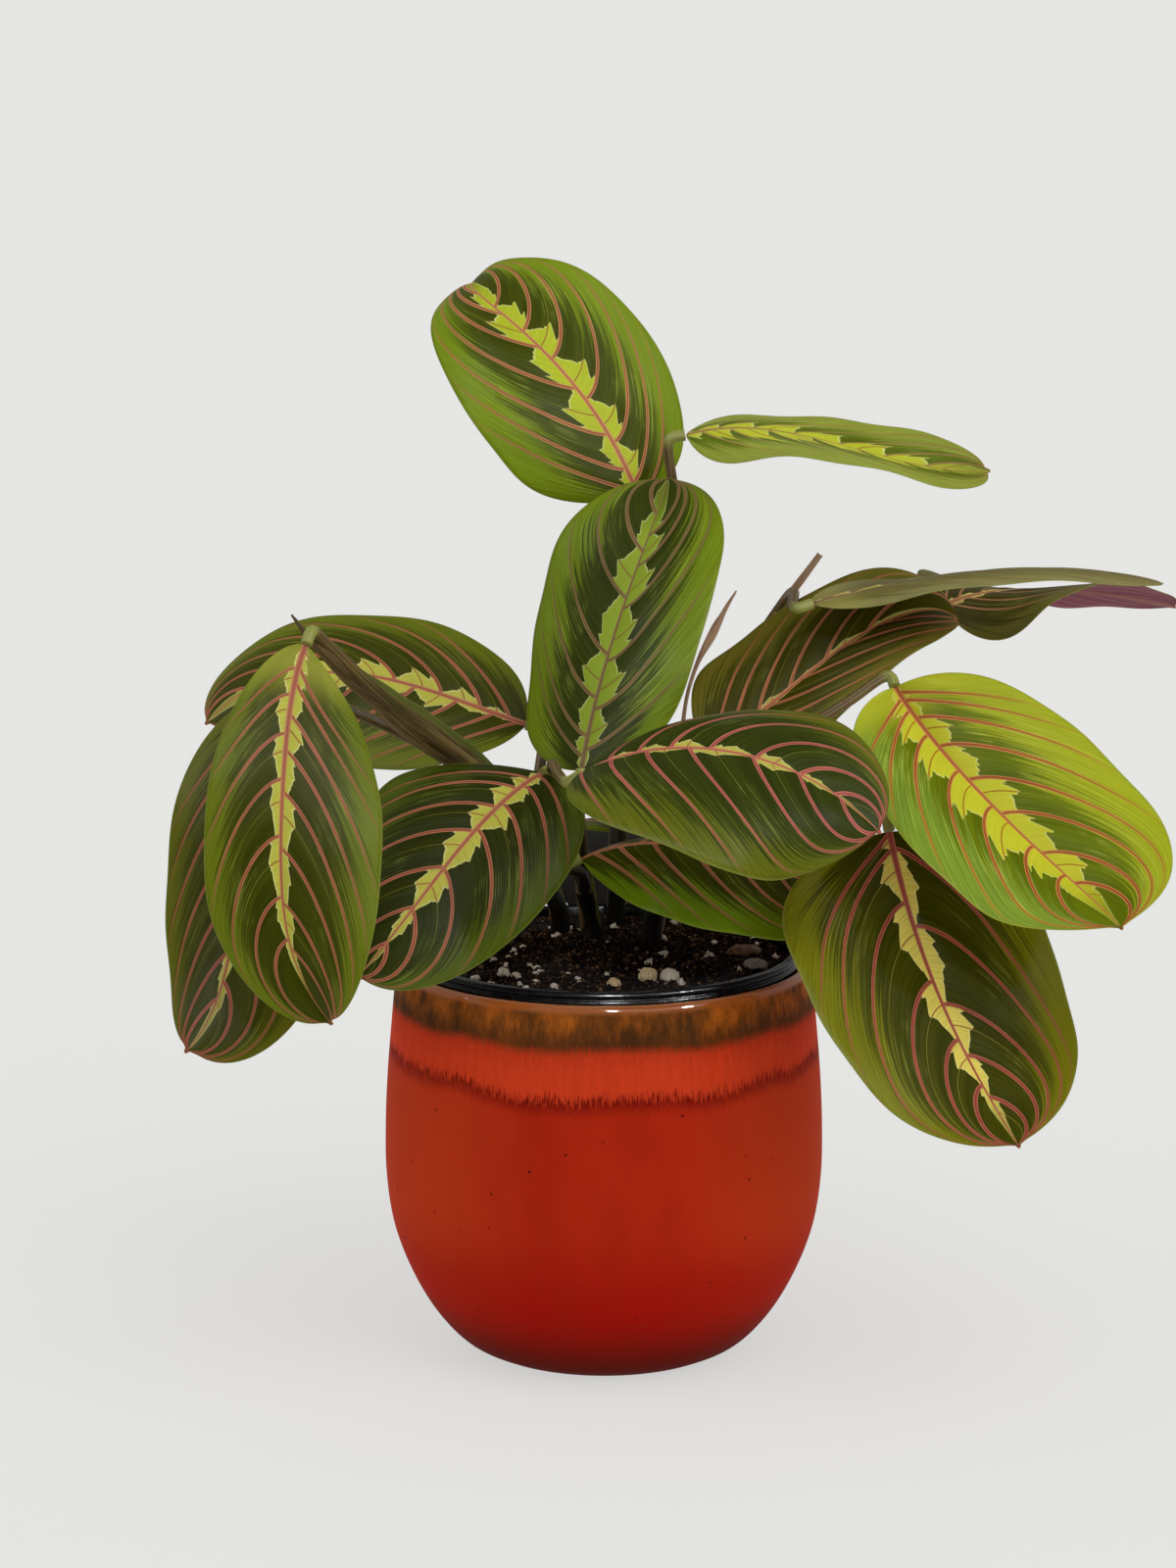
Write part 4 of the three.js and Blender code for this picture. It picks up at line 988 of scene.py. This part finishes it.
def glaze_finish(settings):
    """Red glaze under an orange-brown band that has run down in fine streaks."""
    f = Finish("red_glaze")
    place = f.place()
    x, y, z = f.split(place)
    runs = f.grain((x, y, z * 0.12), 0.5, 4.0, 0.6)
    drips = f.grain((x, y, z * 0.05), 1.1, 3.0, 0.6)
    needles = f.fibres(x, y, z * 0.14, scale=1.7)
    slow = f.grain((x, y, z * 0.3), 0.035)
    patches = f.grain((x, y, z * 0.5), 0.07, 3.0)
    mottle = f.grain((x, y, z * 0.5), 0.16, 4.0, 0.6)
    flank = f.ease(f.maths("ABSOLUTE", x), *FLANK)
    lip = f.ease(z, *LIP_FADE)

    def above(edge, *sways):
        """Height above an edge that sways by these millimetres in slow waves, drips and needles."""
        height = z - edge / MM
        for wave, sway in zip((slow, drips, needles), sways):
            height = height - (wave - 0.5) * sway
        return height

    over_band = above(settings.band_foot, 5.0, 2.4, 1.6)
    over_run = above(settings.run_foot, 7.0, 3.0, 2.6) - flank * 2.5
    rusty = f.ease(over_run, -5.0, 0.0) * f.fall(over_run, 0.0, 3.4)
    body = f.layers(  # darker spots, flanks made paler by painted light, and a browner foot, partly darker glaze and partly painted shade
        f.blend(f.ease(z, *BELLY_FADE), settings.low_colour, settings.body_colour),
        (f.ease(patches, 0.4, 0.7) * 0.35, paint(150, 28, 8)),
        # painted light: towards the sides, as the camera sees them, the glaze is paler and more orange
        (flank * f.ease(z, *FLANK_FADE, 0.2, 0.75), paint(192, 62, 26)),
        # partly the glaze's own darker foot and partly painted shade near the floor
        (f.fall(z, *FOOT_FADE, 0.9), paint(70, 18, 8)),
    )
    upper = f.layers(
        f.shade(settings.run_colour, 0.8 + 0.4 * runs),
        (f.ease(over_band, -9.0, 0.0) * needles * 0.4, paint(110, 24, 10)),
    )
    ochre = f.layers(  # fine dark needles, a smoky lower edge, a paler lip and a painted highlight along its top edge
        f.ramp(mottle, (0.34, paint(84, 50, 20)), (0.5, paint(138, 74, 22)), (0.66, paint(182, 96, 28))),
        (needles * 0.35, paint(66, 44, 22)),
        (f.fall(over_band, 1.0, 8.5) * (0.65 + 0.5 * runs) * 0.85, paint(68, 38, 18)),
        (lip, paint(166, 90, 36)),
        # painted highlight: a pale line along the top edge of the lip
        (f.ease(z, *LIP_EDGE_FADE), paint(182, 116, 72)),
    )
    colour = f.layers(
        body,
        (f.ease(over_run, -0.8, 1.0), upper),
        (rusty * (0.3 + 0.65 * needles), paint(98, 8, 4)),
        (f.ease(over_band, -2.6, 1.8), ochre),
        (specks(f, x, y, z, needles) * 0.85, paint(50, 12, 8)),
    )
    relief = f.grain(place, 0.16) + 0.1 * runs
    return f.surface(colour, 0.12 + 0.1 * patches, relief, 0.25, Specular_IOR_Level=0.0,
                     Coat_Weight=0.05 + lip * 0.7, Coat_Roughness=0.05)


def plastic_finish():
    """Black moulded plastic, a little dusty on its flats."""
    f = Finish("black_plastic")
    place = f.place()
    x, y, z = f.split(place)
    dust = f.grain(place, 0.35, 4.0, 0.65)
    scuffs = f.grain((x * 0.1, y * 0.1, z), 2.0)
    colour = f.blend(f.ease(dust, 0.45, 0.75), paint(7, 7, 8), paint(24, 23, 22))
    return f.surface(colour, 0.16 + 0.2 * dust, scuffs, 0.08, Specular_IOR_Level=0.12)


# ---- soil --------------------------------------------------------------------------------------
SOIL_RIM, MOUND_HEIGHT, MOUND_AT, MOUND_SPREAD, SOIL_ROUGH = 124.6, 3.2, (0, 14), 30, 0.8
SOIL_RADIUS, SOIL_RINGS, SOIL_SIDES = 57.95, 96, 240
SOIL_BELOW = ((57.9, 38.2), (119, 8.2))  # radii and heights of the rings under the top
BARE_BEYOND, BARE_AROUND_STEM = 56.6, 4  # no loose grains near the pot's wall and the stems
PIT_DEPTH, PIT_SCALE, LUMPINESS = 0.35, 0.55, 0.9
# Light and dark colours of the pieces on the soil, with their slots.
PEBBLES = {
    "pebble_white": ((255, 250, 226), (236, 218, 176), "pebble"),
    "pebble_tan": ((255, 238, 178), (212, 180, 108), "pebble"),
    "pebble_golden": ((244, 206, 136), (168, 124, 62), "pebble"),
    "perlite_lump": ((250, 246, 222), (190, 180, 146), "pebble"),
    "stone_grey": ((176, 170, 150), (112, 104, 88), "pebble"),
    "bark_chip": ((134, 106, 70), (58, 42, 26), "bark"),
}


def soil_top(x, y):
    """Height of the soil: a mound at the stems and gentle waves."""
    far = np.hypot(x - MOUND_AT[0], y - MOUND_AT[1]) / MOUND_SPREAD
    waves = np.sin(x * 0.31 + 1.3) * np.cos(y * 0.27 - 0.4) + 0.6 * np.sin(x * 0.13 - y * 0.19)
    return SOIL_RIM + MOUND_HEIGHT * np.exp(-far * far) + SOIL_ROUGH * waves * 0.6


@np.vectorize
def crumb_height(x, y):
    """How far the crumbs of the soil rise at a place."""
    clods = noise.fractal((x * 0.35, y * 0.35, 0), 0.6, 2.0, 5)
    return clods + 0.9 * abs(noise.noise((x * 0.9, y * 0.9, 7)))


def soil_mesh():
    """The soil body, its top broken into crumbs."""
    radius = SOIL_RADIUS * (np.arange(1, SOIL_RINGS + 1) / SOIL_RINGS)
    top = level_rings(radius, 0 * radius, SOIL_SIDES)
    x, y = top[..., 0], top[..., 1]
    crumbs = crumb_height(x, y) * (1 - smooth(radius / SOIL_RADIUS, 0.94, 1))[:, None]
    top[..., 2] = soil_top(x, y) + crumbs
    rings = np.concatenate([top, level_rings(*SOIL_BELOW, SOIL_SIDES)])
    return stacked("soil", rings, soil_top(0.0, 0.0), SOIL_BELOW[1][-1])


def soil_finish():
    """Dark crumbly earth in lighter and darker patches."""
    f = Finish("potting_soil")
    place = f.place()
    crumbs = f.grain(place, 0.9, 5.0, 0.7)
    damp = f.grain(place, 0.12, 3.0)
    colour = f.ramp(crumbs, (0.36, paint(5, 3, 2)), (0.52, paint(22, 15, 9)), (0.66, paint(84, 62, 40)))
    colour = f.shade(colour, 0.5 + 0.7 * damp)
    return f.surface(colour, 0.9 - 0.25 * damp, crumbs, 0.9, Specular_IOR_Level=0.03)


def crumb_finish():
    """Loose crumbs, a few of them pale."""
    f = Finish("soil_crumbs")
    place = f.place()
    tone = f.grain(place, 0.5, 3.0, 0.7)
    colour = f.ramp(tone, (0.36, paint(9, 6, 4)), (0.54, paint(36, 24, 14)), (0.66, paint(150, 116, 80)))
    return f.surface(colour, 0.85, f.grain(place, 2.5, 3.0), 0.4, Specular_IOR_Level=0.04)


def mineral_finish(name, *colours):
    """A porous grain or pebble, from its light and dark colour."""
    f = Finish(name)
    light, dark = (paint(*colour) for colour in colours)
    place = f.place()
    tone = f.grain(place, 0.7, 4.0, 0.65)
    pores = f.grain(place, 2.4, 3.0, 0.6)
    colour = f.blend(f.ease(tone, 0.25, 0.6), dark, light)
    colour = f.blend(f.fall(pores, 0.34, 0.42, 0.6), colour, between(dark, (0, 0, 0), 0.4))
    return f.surface(colour, 0.8, pores + 0.5 * tone, 0.5)


def scatter_tree():
    """Strews a small solid over the faces it is given, turned and sized at random."""
    g = Growth("strew", Ground="Geometry", Grain="Object", Density="Float", Smallest="Float",
               Largest="Float", Seed="Int")
    given = g.given
    spots = {"Mesh": given["Ground"], "Density": given["Density"], "Seed": given["Seed"]}
    spread = g.step("DistributePointsOnFaces", spots, distribute_method="RANDOM")
    shape = g.node("GeometryNodeObjectInfo", None, {"Object": given["Grain"]}).outputs["Geometry"]
    turn = g.random("FLOAT_VECTOR", {0: (0, 0, 0), 1: (FULL_TURN,) * 3}, "Value")
    size = g.random("FLOAT", {2: given["Smallest"], 3: given["Largest"]}, 1)
    placed = {"Points": spread, "Instance": shape, "Rotation": turn, "Scale": size}
    return g.end(g.step("InstanceOnPoints", placed))


def lumpy_ball(name, subdivisions, seed, stretch):
    """A small uneven ball of about unit diameter."""
    mesh = bpy.data.meshes.new(name)
    with shaping(mesh) as shaped:
        bmesh.ops.create_icosphere(shaped, subdivisions=subdivisions, radius=0.5)
        for vert in shaped.verts:
            push = 1 + LUMPINESS * noise.noise(vert.co * 3 + Vector((seed, 0, 0)))
            vert.co = Vector(c * push * s for c, s in zip(vert.co, stretch))
    return link(name, mesh)


def pitted(node):
    """A finer, pitted copy of one of the small solids on the soil."""
    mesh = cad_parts[node].data.copy()
    mesh.name = "rough_" + node
    mesh.materials.clear()
    with shaping(mesh) as shaped:
        bmesh.ops.remove_doubles(shaped, verts=shaped.verts, dist=1e-5)
    made = link("rough_" + node, mesh)
    rounding = made.modifiers.new("rounding", "SUBSURF")
    rounding.levels = rounding.render_levels = 3
    settled(made)
    for vert, normal in zip(made.data.vertices, [v.normal.copy() for v in made.data.vertices]):
        pit = noise.fractal(vert.co / MM * PIT_SCALE, 0.7, 2.0, 3)
        vert.co += normal * (pit * PIT_DEPTH * MM)
    made.data.shade_smooth()
    return made


# ---- settings ----------------------------------------------------------------------------------
def length_setting(name, description, default, low=0, high=200):
    """A setting from its numbers in millimetres."""
    return FloatProperty(name=name, description=description, default=default * MM, min=low * MM,
                         max=high * MM, unit="LENGTH")


def colour_setting(name, description, default):
    return FloatVectorProperty(name=name, description=description, default=paint(*default),
                               subtype="COLOR", min=0, max=1)


def amount_setting(name, description, default):
    return FloatProperty(name=name, description=description, default=default, min=0)


class BladeSettings(bpy.types.PropertyGroup):
    thickness: length_setting("Thickness", "Thickness of a blade beside its midrib", 0.55, 0.2, 1.5)
    quilting: length_setting("Quilting", "How far a blade swells between its side veins", 0.45, 0, 2)
    ripple: length_setting("Ripple", "How far the margin waves up and down", 0.5, 0, 3)


class GlazeSettings(bpy.types.PropertyGroup):
    body_colour: colour_setting("Body", "Glaze colour of the belly", (172, 38, 14))
    low_colour: colour_setting("Foot", "Glaze colour towards the foot", (160, 18, 7))
    run_colour: colour_setting("Run", "Glaze colour between the two edges", (202, 60, 28))
    band_foot: length_setting("Band foot", "Height where the brown band ends", 111.5)
    run_foot: length_setting("Run foot", "Height where the upper glaze stops running", 95)


class SoilSettings(bpy.types.PropertyGroup):
    crumbs: amount_setting("Crumbs", "Loose crumbs for each square metre", 330000)
    crumb_size: length_setting("Crumb size", "Diameter of the largest crumbs", 2.2)
    grains: amount_setting("White grains", "White grains for each square metre", 6000)
    grain_size: length_setting("Grain size", "Diameter of the largest white grains", 3.6)
    seed: IntProperty(name="Seed", description="Changes where the crumbs and grains lie", default=5)


class StageSettings(bpy.types.PropertyGroup):
    floor_colour: colour_setting("Floor", "Colour of the floor", (238, 238, 236))
    floor_glow: FloatProperty(
        name="Floor glow", description="Share of the floor's brightness that no shadow dims", default=0.72,
        min=0, max=1)
    sky: amount_setting("Surroundings", "Strength of the even light", 0.75)
    key: amount_setting("Key light", "Strength of the soft main light", 1.0)
    glint: amount_setting("Glint", "Strength of the small lights that sparkle on the lip", 10.0)


class PlantSettings(bpy.types.PropertyGroup):
    blades: PointerProperty(type=BladeSettings)
    glaze: PointerProperty(type=GlazeSettings)
    soil: PointerProperty(type=SoilSettings)
    stage: PointerProperty(type=StageSettings)


# ---- operators ---------------------------------------------------------------------------------
class PRAYER_PLANT_OT_blades(bpy.types.Operator):
    """Make the patterned blades of all the leaves"""
    bl_idname = "prayer_plant.blades"
    bl_label = "Blades"

    def execute(self, context):
        wine = underside_finish("wine_underside", paint(144, 74, 88), paint(98, 42, 50))
        shaded = underside_finish("shaded_underside", paint(26, 24, 14), paint(14, 12, 8))
        for name, shape in BLADES.items():
            mesh = blade_mesh("blade_" + name, shape, context.scene.prayer_plant.blades)
            mesh.materials.append(blade_finish("upper_" + name, shape))
            mesh.materials.append(shaded if "hidden" in name else wine)
            keep(link("blade_" + name, mesh), shape.get("slot", "dark_leaf"), name)
        return {"FINISHED"}


class PRAYER_PLANT_OT_stalks(bpy.types.Operator):
    """Make the stems, the stalks of the leaves and their dry sheaths"""
    bl_idname = "prayer_plant.stalks"
    bl_label = "Stalks and sheaths"

    def execute(self, context):
        tree, skin = stalk_tree(), stalk_finish()
        olive = sheath_finish("olive_sheath", (62, 48, 22), (132, 108, 66), (84, 96, 26))
        tan = sheath_finish("tan_sheath", (150, 112, 78), (212, 180, 144), (190, 160, 124))
        for name, shoot in SHOOTS.items():
            stalks = link(name + "_stalks", rows_mesh(name + "_stalks", shoot_rows(shoot)))
            grow(stalks, tree, Step=STALK_STEP * MM, Sides=STALK_SIDES, Finish=skin)
            keep(stalks, "stem", name)
            sheaths = link(name + "_sheaths", sheath_mesh(name + "_sheaths", shoot["sheaths"]))
            sheaths.data.materials.append(tan if name == "shoot_right" else olive)
            keep(sheaths, "stem")
        return {"FINISHED"}


class PRAYER_PLANT_OT_pots(bpy.types.Operator):
    """Make the glazed pot and the nursery pot in it"""
    bl_idname = "prayer_plant.pots"
    bl_label = "Pots"

    def execute(self, context):
        glaze = glaze_finish(context.scene.prayer_plant.glaze)
        for name, mesh, finish, slot, node in (
            ("glazed_pot", ceramic_mesh(), glaze, "glaze", "ceramic_pot"),
            ("black_pot", nursery_mesh(), plastic_finish(), "black_plastic", "nursery_pot"),
        ):
            mesh.materials.append(finish)
            keep(link(name, mesh), slot, node)
        return {"FINISHED"}


class PRAYER_PLANT_OT_soil(bpy.types.Operator):
    """Make the potting soil with its crumbs and white grains"""
    bl_idname = "prayer_plant.soil"
    bl_label = "Soil"

    def execute(self, context):
        settings = context.scene.prayer_plant.soil
        body = link("soil_body", soil_mesh())
        body.data.materials.append(soil_finish())
        keep(body, "soil", "soil")
        tree = scatter_tree()
        crumb = lumpy_ball("crumb_shape", 1, 3, (1, 0.8, 0.7))
        grain = lumpy_ball("grain_shape", 2, 9, (1, 0.9, 0.75))
        perlite = mineral_finish("perlite", (255, 248, 222), (204, 188, 146))
        kinds = (
            ("crumbs", crumb, settings.crumbs, 0.4, settings.crumb_size, crumb_finish(), "soil"),
            ("white_grains", grain, settings.grains, 0.42, settings.grain_size, perlite, "pebble"),
        )
        for index, (name, shape, density, smallest, size, skin, slot) in enumerate(kinds):
            ground = self.ground(body.data, name)
            grow(ground, tree, Grain=shape, Density=density, Smallest=smallest * size, Largest=size,
                 Seed=settings.seed + index, Finish=skin)
            if name == "crumbs":
                ground.data.shade_flat()
            else:
                ground.data.shade_smooth()
            keep(ground, slot)
            bpy.data.objects.remove(shape)
        return {"FINISHED"}

    @staticmethod
    def ground(soil, name):
        """The part of the soil's top that loose grains may lie on."""
        ground = bpy.data.meshes.new(name)
        stems = [Vector(shoot["foot"]) * MM for shoot in SHOOTS.values()]
        with shaping(ground, soil) as shaped:
            bare = []
            for face in shaped.faces:
                middle = face.calc_center_median().xy
                at_stem = any((middle - stem).length < BARE_AROUND_STEM * MM for stem in stems)
                if face.normal.z < 0.2 or middle.length > BARE_BEYOND * MM or at_stem:
                    bare.append(face)
            bmesh.ops.delete(shaped, geom=bare, context="FACES")
        return link(name, ground)


class PRAYER_PLANT_OT_pebbles(bpy.types.Operator):
    """Make the pebbles, the white lump and the bark chip on the soil"""
    bl_idname = "prayer_plant.pebbles"
    bl_label = "Pebbles"

    def execute(self, context):
        for node, (light, dark, slot) in PEBBLES.items():
            made = pitted(node)
            made.data.materials.append(mineral_finish(node, light, dark))
            keep(made, slot, node)
        return {"FINISHED"}


# ---- stage -------------------------------------------------------------------------------------
FLOOR_REACH = 60.0  # metres to each side, so that no edge of the floor is seen
FLOOR_LIGHT, SKY_COLOUR = (231, 231, 229), (240, 240, 238)
KEY_ANGLE, KEY_TOWARDS = 50, (0.55, -0.75, 1.1)
GLINT_ANGLE, GLINT_TURNS, GLINT_RISE = 5, (-58, 5, 52), 0.72
CAMERA_AT, CAMERA_DIP = (-0.005, -1.5, 0.481), 11.33  # metres, and how far it looks down
LENS, SENSOR = 112.84, 36


class PRAYER_PLANT_OT_stage(bpy.types.Operator):
    """Make the pale floor, the soft lights and the camera"""
    bl_idname = "prayer_plant.stage"
    bl_label = "Stage"

    def execute(self, context):
        settings = context.scene.prayer_plant.stage
        self.floor(settings)
        world = bpy.data.worlds.new("even_light")
        context.scene.world = world
        world.use_nodes = True
        background = world.node_tree.nodes["Background"]
        background.inputs["Color"].default_value = (*paint(*SKY_COLOUR), 1)
        background.inputs["Strength"].default_value = settings.sky

        self.lamp("key", settings.key, KEY_ANGLE, KEY_TOWARDS)
        for turn in GLINT_TURNS:
            side = math.radians(turn)
            towards = (math.sin(side), -math.cos(side), GLINT_RISE)
            self.lamp(f"glint_{turn}", settings.glint, GLINT_ANGLE, towards).visible_diffuse = False

        camera = bpy.data.cameras.new("camera")
        camera.lens, camera.sensor_width, camera.sensor_fit = LENS, SENSOR, "AUTO"
        camera.clip_start, camera.clip_end = 0.05, 200
        eye = link("camera", camera)
        eye.location = CAMERA_AT
        eye.rotation_euler = (math.radians(90 - CAMERA_DIP), 0, 0)
        context.scene.camera = eye
        context.scene.view_settings.view_transform = "Standard"
        return {"FINISHED"}

    @staticmethod
    def floor(settings):
        """A flat floor that glows by a part of its brightness, so that shadows on it stay pale."""
        mesh = bpy.data.meshes.new("floor")
        corners = [(x * FLOOR_REACH, y * FLOOR_REACH, 0) for x, y in ((-1, -1), (1, -1), (1, 1), (-1, 1))]
        mesh.from_pydata(corners, [], [(0, 1, 2, 3)])
        f = Finish("floor_paper")
        tooth = 0.995 + 0.01 * f.grain(f.place(), 0.02)
        mesh.materials.append(f.surface(
            f.shade(settings.floor_colour, tooth * (1 - settings.floor_glow)), 0.9, Specular_IOR_Level=0.0,
            Emission_Color=(*paint(*FLOOR_LIGHT), 1), Emission_Strength=settings.floor_glow))
        link("floor", mesh)

    @staticmethod
    def lamp(name, energy, angle, towards):
        sun = bpy.data.lights.new(name, "SUN")
        sun.energy, sun.angle = energy, math.radians(angle)
        lamp = link(name, sun)
        lamp.rotation_euler = Vector(towards).to_track_quat("Z", "Y").to_euler()
        return lamp


class PRAYER_PLANT_PT_sidebar(bpy.types.Panel):
    """The settings and steps of the potted prayer plant"""
    bl_idname = "PRAYER_PLANT_PT_sidebar"
    bl_label = "Prayer plant"
    bl_space_type = "VIEW_3D"
    bl_region_type = "UI"
    bl_category = "Prayer plant"

    def draw(self, context):
        for group in ("blades", "glaze", "soil", "stage"):
            box = self.layout.box()
            box.label(text=group.title())
            settings = getattr(context.scene.prayer_plant, group)
            for key in settings.__annotations__:
                box.prop(settings, key)
        for operator in OPERATORS:
            self.layout.operator(operator.bl_idname)


GROUPS = (BladeSettings, GlazeSettings, SoilSettings, StageSettings, PlantSettings)
OPERATORS = (
    PRAYER_PLANT_OT_pots,
    PRAYER_PLANT_OT_soil,
    PRAYER_PLANT_OT_pebbles,
    PRAYER_PLANT_OT_stalks,
    PRAYER_PLANT_OT_blades,
    PRAYER_PLANT_OT_stage,
)


def register():
    for group in (*GROUPS, *OPERATORS, PRAYER_PLANT_PT_sidebar):
        bpy.utils.register_class(group)
    bpy.types.Scene.prayer_plant = PointerProperty(type=PlantSettings)


def unregister():
    del bpy.types.Scene.prayer_plant
    for group in reversed((*GROUPS, *OPERATORS, PRAYER_PLANT_PT_sidebar)):
        bpy.utils.unregister_class(group)


def main():
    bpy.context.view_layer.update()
    register()
    for name in ("pots", "soil", "pebbles", "stalks", "blades", "stage"):
        getattr(bpy.ops.prayer_plant, name)()


if __name__ == "__main__":
    main()
